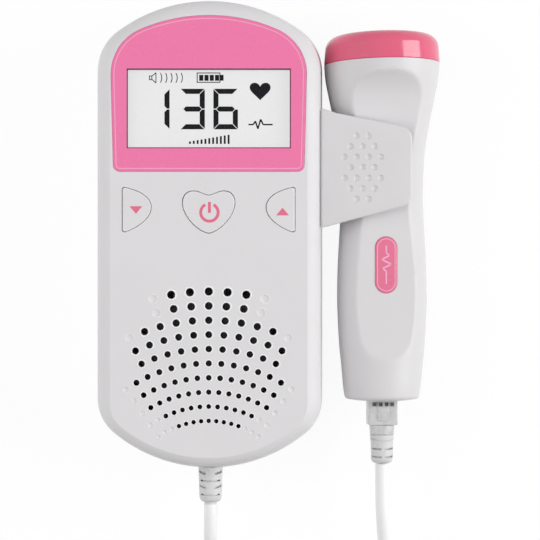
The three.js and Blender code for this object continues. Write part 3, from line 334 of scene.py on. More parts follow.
def corner_arc(x, y, radius, number, steps):
    """A quarter round with both its ends. Number 0 is the upper right one, and 1 the upper left."""
    return arc(x, y, radius, number * math.pi / 2, (number + 1) * math.pi / 2, steps, True)


def rectangle(width, low, high, corner=0.0, x=UNIT_X):
    half = width / 2
    if not corner:
        return square((x - half, x + half), (low, high))
    left, right, foot, top = x - half + corner, x + half - corner, low + corner, high - corner
    ring = corner_arc(right, top, corner, 0, 5) + corner_arc(left, top, corner, 1, 5)
    return ring + corner_arc(left, foot, corner, 2, 5) + corner_arc(right, foot, corner, 3, 5)


print("points on the outline:", len(case_outline()))

# %% [markdown]
# ## Front half of the case
# The rim swells up from the side and meets the flat face in a soft crease. Rings that follow a part
# of a circle give that crease, with one more ring just inside it so that the light changes over a
# quarter of a millimetre and the flat face stays flat. The sides lean in a little towards the face,
# as a moulded half does so that it leaves its mould.

# %% Front half
CREASE_ANGLE = math.radians(60)
DRAFT_SIDE, DRAFT_END = 0.8, 1.2


def front_half():
    low = SPLIT + HALF_GAP
    rings = case_rings((0.2, low), (0.05, low + 0.06), (0, low + 0.22))
    for step in range(15):
        angle = CREASE_ANGLE * step / 14
        share = (1 - math.cos(angle)) / (1 - math.cos(CREASE_ANGLE))
        height = CASE_DEPTH - RIM_DEPTH * (1 - math.sin(angle) / math.sin(CREASE_ANGLE))
        side = DRAFT_SIDE + (RIM_SIDE - DRAFT_SIDE) * share
        top = DRAFT_END + (RIM_TOP - DRAFT_END) * share
        bottom = DRAFT_END + (RIM_BOTTOM - DRAFT_END) * share
        rings.append(at_height(case_outline(side, top, bottom), height))
    rings.append(at_height(case_outline(RIM_SIDE + 0.25, RIM_TOP + 0.25, RIM_BOTTOM + 0.25), CASE_DEPTH))
    return skin("case_front", rings)


CEILING = CASE_DEPTH - WALL
case_front = front_half()
carve(case_front, skin("hollow", case_rings(
    (WALL, SPLIT - 3), (WALL + DRAFT_SIDE, CEILING - RIM_DEPTH),
    (WALL + RIM_SIDE / 2, CEILING - RIM_DEPTH / 3), (WALL + RIM_SIDE, CEILING),
)))
print("front half:", len(case_front.data.polygons), "faces")

# %% [markdown]
# ## Outlines of the surround and the buttons
# The pink surround has a broad arched top and sides that draw in a little. The power button is a
# heart with a shallow notch, and each side button is a leaf with one straight side. Curves with
# handles describe such forms with few numbers, and the gap round each comes from the same curve.

# %% Surround and button outlines
BEZEL_TOP, BEZEL_FOOT = 61.9, 17.55
BUTTON_ROW = 6.05


def bezel_outline(grow):
    corner, foot_half, foot = 2 + grow, 27.15 + grow, BEZEL_FOOT - grow
    ring = crown(27.8 + grow, 50 + grow, 14 + grow, BEZEL_TOP + grow, steps=16)
    ring += corner_arc(corner - foot_half, foot + corner, corner, 2, 8)
    ring += corner_arc(foot_half - corner, foot + corner, corner, 3, 8)
    return [(x + UNIT_X, y) for x, y in ring]


def curve_points(points, steps=10):
    """Places along joined curves. Between two of their ends the list holds the two handles."""
    ring = []
    for i in range(0, len(points) - 1, 3):
        for t in [step / steps for step in range(steps)]:
            shares = ((1 - t) ** 3, 3 * (1 - t) ** 2 * t, 3 * (1 - t) * t * t, t**3)
            ring.append([sum(map(operator.mul, shares, part)) for part in zip(*points[i:i + 4])])
    return ring


def heart(left_half, x, y, half, tall):
    """A heart from the curve of its left half, which runs from the notch to the tip."""
    ring = curve_points(left_half + [(-a, b) for a, b in left_half[-2::-1]])
    return [(x + a * half, y + b * tall) for a, b in ring]


def heart_outline(grow=0.0):
    left_half = [(0, 0.8), (-0.2, 0.82), (-0.35, 1), (-0.58, 1), (-0.86, 1), (-1, 0.76), (-1, 0.42),
                 (-1, -0.1), (-0.5, -0.88), (0, -1)]
    return heart(left_half, UNIT_X, BUTTON_ROW, 7.55 + grow, 6.125 + grow)


def leaf_outline(side, grow):
    outer, inner, tall = 24.6 + grow, 16.2 - grow, 6.4 + grow
    ring = curve_points([
        (0, 0.92), (0, 0.973), (0.03, 1), (0.09, 1), (0.55, 0.88), (1, 0.6), (1, 0.1),
        (1, -0.4), (0.5, -0.82), (0.12, -1), (0.04, -1), (0, -0.973), (0, -0.92),
    ]) + [(0, -0.92)]
    ring = [(UNIT_X + side * (outer + (inner - outer) * x), BUTTON_ROW + 0.7 + y * tall) for x, y in ring]
    return ring[::-1] if side < 0 else ring


button_outlines = {
    "down": lambda grow: leaf_outline(-1, grow),
    "power": heart_outline,
    "up": lambda grow: leaf_outline(1, grow),
}


def flared_tool(outline, gap, low, edge):
    """A cutter whose mouth opens a little, which breaks the sharp edge of the hole."""
    places = (gap, low), (gap, CASE_DEPTH - edge), (gap + edge, CASE_DEPTH), (gap + edge, CASE_DEPTH + 3)
    return skin("tool", layers(outline, *places))


def soft_edge(outline, start, inset, top, drop, steps):
    """Rings of an outline whose upper edge is rounded by a quarter of an ellipse."""
    turn = [(1 - math.cos(a), 1 - math.sin(a)) for a in quarter_turn(steps)]
    return layers(outline, *[(-start - inset * back, top - drop * down) for back, down in turn])


print("heart outline:", len(heart_outline()), "points")

# %% [markdown]
# ## Openings in the face
# The surround lies in a shallow recess, the display looks out through a window, and each button has
# its own opening. Every opening is cut with a boolean; the tools for the recess and the buttons flare
# a little at the mouth.

# %% Cut the face
VIEW_WIDTH, VIEW_LOW, VIEW_HIGH = 46.6, 24.2, 46.8
lens_outline = rectangle(VIEW_WIDTH + 2.6, VIEW_LOW - 1.3, VIEW_HIGH + 1.3)
lens_tool = plate("tool", lens_outline, CEILING - 3, CASE_DEPTH + 3)
carve(case_front, flared_tool(bezel_outline, 0.04, CASE_DEPTH - 1.2, 0.07), lens_tool)
for outline in button_outlines.values():
    carve(case_front, flared_tool(outline, 0.0, CEILING - 3, 0.1))
print("front half with openings:", len(case_front.data.polygons), "faces")

# %% [markdown]
# ## A node tree that places copies
# Speaker holes, dimples and screws all repeat one small shape. A Geometry Nodes tree puts a copy of
# a tool on each point of a mesh and scales it by a number stored on that point. The holes grow from
# row to row, so the number differs. Copies are made real at the end, because an export drops them.


# %% Tree for copies
def copies_tree():
    tree = bpy.data.node_groups.new("copies on points", "GeometryNodeTree")
    for name, kind in (("Points", "Geometry"), ("Shape", "Object"), ("Width", "Float"), ("Height", "Float"),
                       ("Finish", "Material")):
        tree.interface.new_socket(name, in_out="INPUT", socket_type="NodeSocket" + kind)
    tree.interface.new_socket("Copies", in_out="OUTPUT", socket_type="NodeSocketGeometry")
    given, result, shape, size, width, scale, copies, real, finish = (tree.nodes.new(kind) for kind in (
        "NodeGroupInput", "NodeGroupOutput", "GeometryNodeObjectInfo", "GeometryNodeInputNamedAttribute",
        "ShaderNodeMath", "ShaderNodeCombineXYZ", "GeometryNodeInstanceOnPoints",
        "GeometryNodeRealizeInstances", "GeometryNodeSetMaterial"))
    size.data_type, width.operation = "FLOAT", "MULTIPLY"
    size.inputs["Name"].default_value = "size"
    for start, output, end, socket in (
        (given, "Points", copies, "Points"), (given, "Shape", shape, "Object"),
        (shape, "Geometry", copies, "Instance"), (size, "Attribute", width, 0), (given, "Width", width, 1),
        (width, "Value", scale, "X"), (width, "Value", scale, "Y"), (given, "Height", scale, "Z"),
        (scale, "Vector", copies, "Scale"), (copies, "Instances", real, "Geometry"),
        (real, "Geometry", finish, "Geometry"), (given, "Finish", finish, "Material"),
        (finish, "Geometry", result, "Copies"),
    ):
        tree.links.new(start.outputs[output], end.inputs[socket])
    return tree


copies = copies_tree()


def copies_of(name, shape, places, sizes, width=1.0, height=1.0, finish=None):
    """Puts a copy of the shape at each place, as wide as the place's own size says."""
    piece = new_piece(name, places, [])
    piece.data.attributes.new("size", "FLOAT", "POINT").data.foreach_set("value", sizes)
    modifier = piece.modifiers.new("copies", "NODES")
    modifier.node_group = copies
    for socket, value in (("Shape", shape), ("Width", width), ("Height", height), ("Finish", finish)):
        modifier[copies.interface.items_tree[socket].identifier] = value
    finished(piece)
    bpy.data.objects.remove(shape)
    return piece


print("nodes in the tree:", len(copies.nodes))

# %% [markdown]
# ## The speaker grille
# The holes lie on ten arcs round a point below the case, five degrees apart, and grow towards the
# display. A few blind dimples carry on the pattern at its sides. The places come from that rule,
# and one tool with a flared mouth cuts them all at once.

# %% Speaker grille
GRILLE_MIDDLE = -77.9
HOLE_COUNTS = [9, 11, 13, 13, 13, 11, 11, 9, 5, 5]
DIMPLE_STEPS = [[5, 6, 7], [6, 7], [7], [7], [7], [], [], [5], [3], [3]]


FIRST_ROW, ROW_STEP, HOLE_ANGLE = 24.7, 4.08, 5


def grille_place(row, step):
    radius = FIRST_ROW + ROW_STEP * row
    angle = math.radians(HOLE_ANGLE * step)
    return (UNIT_X + radius * math.sin(angle), GRILLE_MIDDLE + radius * math.cos(angle), CASE_DEPTH)


holes, hole_sizes, dimples, dimple_sizes = [], [], [], []
for row, count in enumerate(HOLE_COUNTS):
    radius = (1.27 + 0.117 * row) / 2
    for i in range(count):
        holes.append(grille_place(row, i - (count - 1) / 2))
        hole_sizes.append(radius)
    for step in DIMPLE_STEPS[row]:
        dimples += [grille_place(row, step), grille_place(row, -step)]
        dimple_sizes += [radius * 1.1] * 2
hole_tool = turned("hole tool", [[0, -4], [1, -4], [1, -0.22], [1.25, 0], [1.25, 1], [0, 1]], 20)
dimple_profile = [[0, -0.3], [0.35, -0.27], [0.7, -0.18], [1.05, 0], [1.05, 1], [0, 1]]
dimple_tool = turned("dimple tool", dimple_profile, 20)
carve(
    case_front,
    copies_of("holes", hole_tool, holes, hole_sizes),
    copies_of("blind holes", dimple_tool, dimples, dimple_sizes),
)
flatten_shading(smooth(case_front, 22))
print("holes:", len(holes), "dimples:", len(dimples), "faces:", len(case_front.data.polygons))

# %% [markdown]
# ## Raised rims of the grille
# Each hole has a fine raised rim, and each dimple a narrower one. Their bright rings are painted highlights:
# the rims are coloured paler than the case, brightest round the holes and softer round the dimples.
# The copies tree sets a small rim on every place, at the size of its own hole.

# %% Grille rims
def rim_tool(inner, outer, sides=24):
    middle, edge = (inner + outer) / 2, (outer - inner) / 4
    profile = [[inner, -0.1], [outer, -0.1], [outer, 0.02], [middle + edge, 0.05]]
    rings = round_rings(profile + [[middle - edge, 0.05], [inner, 0.02]], sides)
    return smooth(skin("rim", rings + rings[:1], closed=False), 80)


# The rims get a paler finish than the case below, as a painted highlight.
hole_rims = copies_of("hole_rims", rim_tool(1.06, 1.4), holes, hole_sizes)
dimple_rims = copies_of("dimple_rims", rim_tool(0.98, 1.16), dimples, dimple_sizes)
print("rims:", len(holes) + len(dimples))

# %% [markdown]
# ## Rear half of the case and the battery cover
# The back has a larger rounding, a slot for the sliding cover, a bay for two cells and four deep
# screw holes. It is hollow like the front, so that the bay is real when the cover slides away.

# %% Rear half
SCREW_PLACES = [(-21, 56.5), (21, 56.5), (-24.5, -48), (24.5, -48)]
BAY_LOW, BAY_HIGH, COVER_LOW = -3.0, 52.0, -5.0


def post(x, y, radius, low, high, sides=32):
    return plate("post", circle(radius, sides, UNIT_X + x, y), low, high)


def middle_box(width, y, z):
    return box_piece("box", (UNIT_X - width / 2, UNIT_X + width / 2), y, z)


def back_rings():
    """The rounding of the back, from its flat face up to the straight sides."""
    places = [(1 - math.sin(a), 1 - math.cos(a)) for a in quarter_turn(8)]
    return case_rings(*[(BACK_RADIUS * inset, BACK_RADIUS * height) for inset, height in places])


rear_top = SPLIT - HALF_GAP
rear_lip = case_rings((0, rear_top - 0.22), (0.05, rear_top - 0.06), (0.2, rear_top))
case_rear = skin("case_rear", back_rings() + rear_lip)
inside = case_rings((WALL + 3.75, WALL), (WALL + 1.25, WALL + 1.67), (WALL, WALL + 5), (WALL, SPLIT + 3))
carve(case_rear, skin("hollow", inside))
join(case_rear, middle_box(37.4, (COVER_LOW - 2, 62), (1.1, 4.4)))
join(case_rear, middle_box(34.4, (COVER_LOW - 2, BAY_HIGH + 1.7), (2.2, 19)))
for x, y in SCREW_PLACES:
    join(case_rear, post(x, y, 3.4, 1.1, rear_top))
carve(
    case_rear,
    middle_box(31, (BAY_LOW, BAY_HIGH), (-3, 17.3)),
    middle_box(31, (COVER_LOW - 0.3, 70), (-3, 2.3)),
    middle_box(34, (COVER_LOW - 0.3, 70), (0.8, 2.3)),
)
for x, y in SCREW_PLACES:
    carve(case_rear, post(x, y, 2.9, -3, 8), post(x, y, 1.55, -3, 20))
smooth(case_rear)
print("rear half:", len(case_rear.data.polygons), "faces")

# %% [markdown]
# ## The pink surround
# It is a thin moulded plate with a softly rounded outer edge. A pale pink band just inside its
# outline is a painted highlight of that edge. Rings that follow a quarter of an ellipse make the
# edge, and the display's window is cut with the same flared tool as the other openings.


# %% Surround of the display
def strip(name, outline, outer, inner, low, high):
    """A thin closed band between two offsets of one outline."""
    rings = layers(outline, (outer, low), (outer, high), (inner, high), (inner, low))
    return skin(name, rings + rings[:1], closed=False)


GLASS_TOP = 31.2


def view_outline(grow):
    return rectangle(VIEW_WIDTH + 2 * grow, VIEW_LOW - grow, VIEW_HIGH + grow)


bezel_rings = layers(bezel_outline, (0, CASE_DEPTH - 1.1))
bezel_rings += soft_edge(bezel_outline, 0, 0.5, CASE_DEPTH, 0.22, 8)
bezel_rings += layers(bezel_outline, (-0.7, CASE_DEPTH))
bezel = carve(skin("bezel", bezel_rings), flared_tool(view_outline, 0, CASE_DEPTH - 3, 0.12))
flatten_shading(smooth(bezel))
# A pale pink band just inside the surround's outline: a painted highlight of its rounded edge.
bezel_line = strip("bezel_line", bezel_outline, -0.8, -1.0, CASE_DEPTH - 0.1, CASE_DEPTH + 0.03)
# A thin dark grey band round the display's window: painted shade, where the cut-out's wall lies in shade.
gasket = strip("gasket", view_outline, 0.02, -0.27, GLASS_TOP, CASE_DEPTH - 0.9)
print("surround:", len(bezel.data.polygons), "faces")

# %% [markdown]
# ## What the display shows
# A heart-rate display has seven-segment digits and a few plain signs. They lie on the glass under
# the clear window, as thin dark plates. Each digit is drawn from seven bars with slanted ends, so any
# number can be shown. It shows a plain number, a loudspeaker with its waves, a battery, a heart, a
# pulse line and a small scale of bars.

# %% Display signs
SIGN_HEIGHT = 0.03


def sign_plates(name, outlines, low, thickness):
    """One mesh from several flat outlines, each made a thin plate."""
    points, faces = [], []
    for outline in outlines:
        first, count = len(points), len(outline)
        points += at_height(outline, low) + at_height(outline, low + thickness)
        faces.append(tuple(reversed(range(first, first + count))))
        faces.append(tuple(range(first + count, first + 2 * count)))
        for i in range(count):
            j = (i + 1) % count
            faces.append((first + i, first + j, first + count + j, first + count + i))
    return new_piece(name, points, faces)


def digit(x, low, width, height, thick, lit):
    """The lit bars of one digit: a top, b and c right, d foot, e and f left, g middle."""
    half, tall, gap, cut = width / 2, height / 2, 0.13, thick / 2
    inner, under = half - thick, tall - thick
    side = [(half - cut, gap), (half, gap), (half, tall - gap), (inner, under - gap), (inner, cut + gap)]
    bars = {
        "a": [(gap - half, tall), (gap - inner, under), (inner - gap, under), (half - gap, tall)],
        "b": side,
        "c": [(a, -b) for a, b in reversed(side)],
        "g": [(cut + gap - half, 0), (gap - inner, -cut), (inner - gap, -cut),
              (half - cut - gap, 0), (inner - gap, cut), (gap - inner, cut)],
    }
    for name, other in ("da", "eb", "fc"):
        bars[name] = [(-a, -b) for a, b in bars[other]]
    return [[(x + half + a, low + tall + b) for a, b in bars[name]] for name in lit]


def frame_bars(x, y, line):
    """Four thin bars round a rectangle."""
    low, high = y[0] + line, y[1] - line
    bars = [square(x, (y[0], low)), square(x, (high, y[1]))]
    return bars + [square(side, (low, high)) for side in ((x[0], x[0] + line), (x[1] - line, x[1]))]


def bow(x, y, radius, line, half_angle, middle=0.0, steps=12):
    """A stroke along a part of a circle."""
    turn = (middle - half_angle, middle + half_angle, steps, True)
    return arc(x, y, radius + line / 2, *turn) + arc(x, y, radius - line / 2, *turn)[::-1]


def stroke(points, line):
    """Thin plates along a bent line."""
    made = []
    for (x0, y0), (x1, y1) in zip(points, points[1:]):
        length = math.hypot(x1 - x0, y1 - y0)
        nx, ny = (y0 - y1) / length * line / 2, (x1 - x0) / length * line / 2
        made.append([(x0 - nx, y0 - ny), (x1 - nx, y1 - ny), (x1 + nx, y1 + ny), (x0 + nx, y0 + ny)])
    return made


signs = []
for x, lit in ((-35.2, "bc"), (-25.17, "abcdg"), (-15.75, "acdefg")):
    signs += digit(x, 29.66, 6.97, 11.52, 1.45, lit)
signs += frame_bars((-20.5, -13.76), (42.9, 45.81), 0.26)
signs.append(square((-13.76, -12.85), (43.5, 45.15)))
signs += [square((-19.8 + 1.5 * i, -18.62 + 1.5 * i), (43.46, 45.14)) for i in range(4)]
signs += frame_bars((-34.07, -33.15), (43.65, 44.95), 0.24)
signs += stroke([(-33.2, 43.8), (-32.1, 42.85), (-32.1, 45.75), (-33.2, 44.8)], 0.24)
signs += [bow(-33.05 + 1.47 * i, 44.3, 2.6, 0.25, 0.55) for i in range(5)]
small_heart = [(0, 0.55), (-0.12, 0.9), (-0.36, 1), (-0.52, 1), (-0.82, 1), (-1, 0.78), (-1, 0.45),
               (-1, 0), (-0.45, -0.4), (0, -1)]
signs.append(heart(small_heart, -2.45, 40.4, 2.97, 2.49))
pulse = [(-5.8, 31.0), (-4.4, 31.0), (-3.8, 32.0), (-3.1, 29.8), (-2.3, 32.5), (-1.6, 31.0), (1.1, 31.0)]
signs += stroke(pulse, 0.42)
signs += [square((-22.7 + 1.1 * i, -22.15 + 1.1 * i), (25.5, 26.2 + 0.19 * i)) for i in range(11)]
display_signs = sign_plates("display_signs", signs, GLASS_TOP, SIGN_HEIGHT)
print("signs on the display:", len(signs))

# %% [markdown]
# ## Buttons
# Each button is a cap with a softly rounded top edge that stands a little proud of the face. Under
# the face it has a lip that keeps it in. The marks on them are printed in pink: two arrows and the
# usual sign for on and off.


# %% Button caps
CAP_PROUD, LIP_LOW, LIP_TOP = 0.2, 30.4, 31.2


def button_cap(name, outline):
    top = CASE_DEPTH + CAP_PROUD
    rings = layers(outline, (0.8, LIP_LOW), (0.8, LIP_TOP), (-0.16, LIP_TOP))
    rings += soft_edge(outline, 0.16, 0.4, top, 0.3, 7)
    return smooth(skin(name, rings + layers(outline, (-0.7, top))))


button_caps = {name: button_cap("cap_" + name, outline) for name, outline in button_outlines.items()}
# A thin band just inside each button's edge, in a paler finish: a painted highlight along the rounded edge.
button_painted_highlights = {
    name: strip("line_" + name, outline, -0.42, -0.58, CASE_DEPTH, CASE_DEPTH + 0.215)
    for name, outline in button_outlines.items()
}
MARK_LOW = CASE_DEPTH + 0.16
arrow_down = [(-39.49, 7.72), (-37.68, 5.57), (-35.86, 7.72)]
arrow_up = [(2.08, 5.11), (5.74, 5.11), (3.91, 7.3)]
ring_mark = bow(-16.83, 5.94, 2.47, 0.84, math.radians(152), math.radians(-90), 48)
stem_mark = square((-17.25, -16.41), (5.85, 8.94))
button_marks = {
    "down": sign_plates("mark_down", [arrow_down], MARK_LOW, 0.06),
    "power": sign_plates("mark_power", [ring_mark, stem_mark], MARK_LOW, 0.06),
    "up": sign_plates("mark_up", [arrow_up], MARK_LOW, 0.06),
}
print("caps and marks:", len(button_caps) + len(button_marks))

# %% [markdown]
# ## The clip that holds the probe
# A flat jaw reaches over the probe's waist and a narrower one under it, both from a plate on the
# case's side. The front jaw has a field of shallow thumb dimples and rounded edges. Plates joined
# with booleans and finished with a bevel give this moulded form.

# %% Clip
CLIP_FACE = UNIT_X + 32.6
CLIP_REACH = 25.3
JAW_LOW, JAW_TOP = 28.505, 30.705


def jaw_outline():
    root_low, root_high, tip_low, tip_high, corner = 1.7, 34.9, 8.4, 30.2, 3.2
    tip = CLIP_FACE + CLIP_REACH
    low_slope, high_slope = (tip_low - root_low) / CLIP_REACH, (root_high - tip_high) / CLIP_REACH
    bend = ((1, 0), (0.5, 0), (0, 0.35), (0, 1))
    low_bend = [(tip - a * corner, tip_low + (b - low_slope * a) * corner) for a, b in bend]
    high_bend = [(tip - a * corner, tip_high - (b - high_slope * a) * corner) for a, b in reversed(bend)]
    ring = [(CLIP_FACE - 0.6, root_low - 0.1)] + curve_points(low_bend) + curve_points(high_bend)
    root = ((4, -0.6), (2.2, 0), (0.8, 0.45), (-0.6, 0.9))
    return ring + high_bend[-1:] + [(CLIP_FACE + x, root_high + y) for x, y in root]


clip = plate("clip", jaw_outline(), JAW_LOW, JAW_TOP)
rounded(clip, 0.55, 4)
jaw_back = box_piece("jaw_back", (CLIP_FACE, CLIP_FACE + 24.3), (4.01, 19.93), (3.28, 5.48))
jaw_root = box_piece("jaw_root", (CLIP_FACE - 1.0, CLIP_FACE + 2.2), (2.45, 34.9), (3.28, JAW_TOP - 0.8))
jaw_rib = box_piece("jaw_rib", (CLIP_FACE, CLIP_FACE + 21.3), (9, 11.99), (26.7, JAW_TOP - 1.1))
join(clip, rounded(jaw_back, 0.6), rounded(jaw_root, 0.3, 2), jaw_rib)
dimple_places = []
for row, count in enumerate([2, 3, 4, 3, 4, 3, 2]):
    for i in range(count):
        x = CLIP_FACE + 11.2 + (i - (count - 1) / 2) * 3.43
        dimple_places.append((x, 18.85 + (3 - row) * 3, JAW_TOP))
thumb_profile = [[0, -0.5], [0.3, -0.48], [0.6, -0.38], [0.82, -0.18], [0.93, 0], [0.93, 1], [0, 1]]
thumb_tool = turned("thumb tool", thumb_profile, 20)
carve(clip, copies_of("thumb dimples", thumb_tool, dimple_places, [1.0] * len(dimple_places)))
smooth(clip)
print("thumb dimples:", len(dimple_places))

# %% [markdown]
# ## The probe
# The probe is a turned form with a waist, a wide head and a long scooped thumb rest on its front.
# Its width is known at a row of stations, so a smooth line through them gives every section, and
# the scoop cuts each section off at its own height. A soft minimum of the two rounds the crease.
# The head leans forward a little, so its near edge stands higher than its sides.

# %% Probe sections
PROBE_X, PROBE_Z = 32.75, 17.0
PROBE_ROLL = math.radians(5.5)
HEAD_RADIUS = 16.72
PROBE_TAIL, PROBE_LENGTH = -47.5, 96.9
PROBE_SHARES = [
    (0, 0.65, 0.95, 0.78), (0.02, 0.666, 0.94, 0.78), (0.065, 0.689, 0.93, 0.77), (0.1, 0.706, 0.925, 0.71),
    (0.135, 0.728, 0.92, 0.61), (0.17, 0.745, 0.92, 0.56), (0.213, 0.76, 0.92, 0.545),
    (0.301, 0.777, 0.92, 0.536), (0.39, 0.768, 0.91, 0.536),
    (0.479, 0.742, 0.9, 0.536), (0.568, 0.713, 0.9, 0.536), (0.656, 0.716, 0.9, 0.53),
    (0.745, 0.75, 0.92, 0.545), (0.834, 0.838, 0.94, 0.6), (0.88, 0.892, 0.955, 0.635),
    (0.915, 0.932, 0.972, 0.705), (0.945, 0.966, 0.985, 0.83), (0.968, 0.985, 0.995, 0.975), (1, 1, 1, 1.15),
]


def shares_at(along):
    """Width, depth and scoop at a place along the probe, on a smooth line through the stations."""
    table = np.array(PROBE_SHARES)
    places = table[:, 0]
    i = int(min(max(np.searchsorted(places, along) - 1, 0), len(places) - 2))
    span = places[i + 1] - places[i]
    t = (along - places[i]) / span
    low, high = table[max(i - 1, 0)], table[min(i + 2, len(places) - 1)]
    leave = (table[i + 1] - low) / (places[i + 1] - low[0]) * span
    arrive = (high - table[i]) / (high[0] - places[i]) * span
    return on_curve(table[i], table[i + 1], leave, arrive, t)[1:]


def soft_least(a, b, softness=0.05):
    """The lesser of two numbers, with the corner between them rounded."""
    low = min(a, b)
    return low - softness * math.log(math.exp((low - a) / softness) + math.exp((low - b) / softness))


def probe_ring(y, along, inset, share=1.0, sides=144):
    width, depth, scoop = shares_at(along)
    half_width, half_depth = HEAD_RADIUS * width * share - inset, HEAD_RADIUS * width * depth * share - inset
    flat = HEAD_RADIUS * scoop - inset
    ring = []
    for side in range(sides):
        angle = 2 * math.pi * side / sides
        height = half_depth * math.cos(angle)
        if height > 0:
            height = min(height, flat) if inset else soft_least(height, flat)
        ring.append((half_width * math.sin(angle), y, height))
    return ring


def probe_rings():
    """The outside: a slightly domed tail with a tight corner, and then the long body."""
    rings = []
    for step in range(1, 5):
        share = 0.93 * step / 4
        rings.append(probe_ring(PROBE_TAIL - 0.9 * (1 - share**2), 0, 0, share))
    for angle in quarter_turn(6):
        in_by = 1 - math.cos(angle)
        rings.append(probe_ring(PROBE_TAIL + 1.1 * in_by, 0.011 * in_by, 0, 0.935 + 0.055 * math.sin(angle)))
    for step in range(1, 151):
        along = 0.0112 + 0.9888 * step / 150
        share = min(0.99 + 0.01 * step / 4, 1.0)
        rings.append(probe_ring(PROBE_TAIL + PROBE_LENGTH * along, along, 0, share))
    return rings


def probe_hollow():
    rings = [probe_ring(PROBE_TAIL + 1.8 + (PROBE_LENGTH - 1.8) * i / 60, i / 60, 1.8) for i in range(61)]
    return skin("hollow", rings + [[(x, y + 3, z) for x, y, z in rings[-1]]])


print("probe width at its waist:", round(2 * HEAD_RADIUS * shares_at(0.6)[0], 1), "mm")

# %% Probe shells
BADGE_FLOOR = HEAD_RADIUS * 0.536 - 0.5
PROBE_SCREWS, SCREW_SEAT = (-29.98, 35.97), -4.5


def pill_outline(grow):
    radius, run, middle = 3.18 + grow, 4.95, -8.91
    ring = arc(0, middle + run, radius, 0, math.pi, 24, True)
    return ring + arc(0, middle - run, radius, math.pi, 2 * math.pi, 24, True)


def probe_shell(name, front):
    outer = skin(name, probe_rings())
    carve(outer, probe_hollow())
    half = (0.1, 40) if front else (-40, -0.1)
    combine(outer, "INTERSECT", box_piece("half", (-40, 40), (-60, 60), half))
    carve(outer, box_piece("socket", (-4.45, 4.45), (-52, -43), (-3.65, 4.45)))
    if front:
        carve(outer, plate("pocket", pill_outline(0.06), BADGE_FLOOR - 0.1, 30))
    return outer


def lean_head(piece):
    """Moves the head's points along the probe, more at its front and right, and fades out to the waist."""
    for vertex in piece.data.vertices:
        x, y, z = (part / MM for part in vertex.co)
        share = min(max((y - 20) / 27, 0), 1)
        share *= share * (3 - 2 * share)
        vertex.co.y += share * (0.06 * z + 0.02 * x - 0.5) * MM
    return piece


PROBE_PLACE = shift(PROBE_X, 0, PROBE_Z) @ Matrix.Rotation(PROBE_ROLL, 4, "Y")
shell_front = probe_shell("shell_front", True)
shell_rear = probe_shell("shell_rear", False)
for y in PROBE_SCREWS:
    carve(shell_rear, plate("bore", circle(2.2, 32, 0, y), -40, SCREW_SEAT))
for shell in (shell_front, shell_rear):
    smooth(placed(lean_head(shell), PROBE_PLACE))
print("probe shells:", len(shell_front.data.polygons), len(shell_rear.data.polygons))

# %% [markdown]
# ## Cap and badge of the probe
# The cap that touches the skin is one glossy turned piece with a slightly crowned face and a round
# shoulder. The badge is a small pill set into the thumb rest, with a softly domed top and a plain
# pulse line on it.

# %% Cap and badge
HEAD_PLACE = 49.4


def cap_profile():
    top = 8.7
    profile = [[0, top], [4, top - 0.02], [8, top - 0.07], [11.2, top - 0.19]]
    for angle in quarter_turn(12)[1:]:
        profile.append([12.5 + 3.95 * math.sin(angle), top - 0.3 - 3.9 * (1 - math.cos(angle))])
    profile += [[16.58, 3], [16.68, 1.5], [16.7, 0.45], [16.62, 0.22], [16.4, 0.16]]
    profile += [[14.1, 0.16], [14.1, -3], [12.5, -3], [12.5, 5.4], [11.4, 7.1], [0, 7.1]]
    return profile[::-1]


def on_head(name, profile, angle):
    """A turned piece, laid along the probe, leant with its head and put in its place."""
    piece = smooth(placed(turned(name, profile, 128), Matrix.Rotation(-math.pi / 2, 4, "X")), angle)
    return placed(lean_head(placed(piece, shift(0, HEAD_PLACE, 0))), PROBE_PLACE)


probe_cap = on_head("cap", cap_profile(), 35)
# A pale pink ring at the cap's lower edge: a painted highlight, where the rounded edge catches the light.
cap_line = on_head("cap_line", [[16.3, 0.2], [16.3, -0.06], [16.68, -0.06], [16.7, 0.07], [16.68, 0.2]], 50)
badge_rings = layers(pill_outline, (0, BADGE_FLOOR))
badge_rings += soft_edge(pill_outline, 0, 0.5, BADGE_FLOOR + 0.8, 0.35, 6)
badge = placed(smooth(skin("badge", badge_rings)), PROBE_PLACE)
wave = [(0, -3.4), (0, -5.4), (0.9, -6.2), (-1.3, -7.4), (1.5, -8.7), (-1.0, -9.9), (0, -10.8), (0, -14.4)]
badge_mark = placed(sign_plates("badge_mark", stroke(wave, 0.42), BADGE_FLOOR + 0.75, 0.09), PROBE_PLACE)
# A pale pink ring just inside the badge's edge: a painted highlight. The pulse line above is print.
line_rings = (-0.55, -0.75, BADGE_FLOOR + 0.7, BADGE_FLOOR + 0.84)
badge_line = placed(strip("badge_line", pill_outline, *line_rings), PROBE_PLACE)
print("cap faces:", len(probe_cap.data.polygons))

# %% [markdown]
# ## Battery cover
# The cover is a part of the rear form, so it is cut from the same rings as the rear half and its
# far end follows the case. Two tongues hold it in the slot, and five shallow grooves give the thumb
# a grip to push it off.

# %% Battery cover
cover = combine(skin("cover", back_rings()), "INTERSECT", middle_box(30.4, (COVER_LOW, 70), (-1, 2)))
join(cover, middle_box(32.8, (COVER_LOW, BAY_HIGH), (1.1, 2)))
for groove in range(5):
    y = 1 + 2 * groove
    carve(cover, middle_box(18, (y - 0.45, y + 0.45), (-1, 0.4)))
rounded(cover, 0.18, 2)
smooth(cover)
print("cover:", len(cover.data.polygons), "faces")

# %% [markdown]
# ## Screws
# Four screws hold the case and two hold the probe together. They are pan heads with a cross recess,
# sunk in deep holes at the back. The copies tree places them too, with every size set to one.


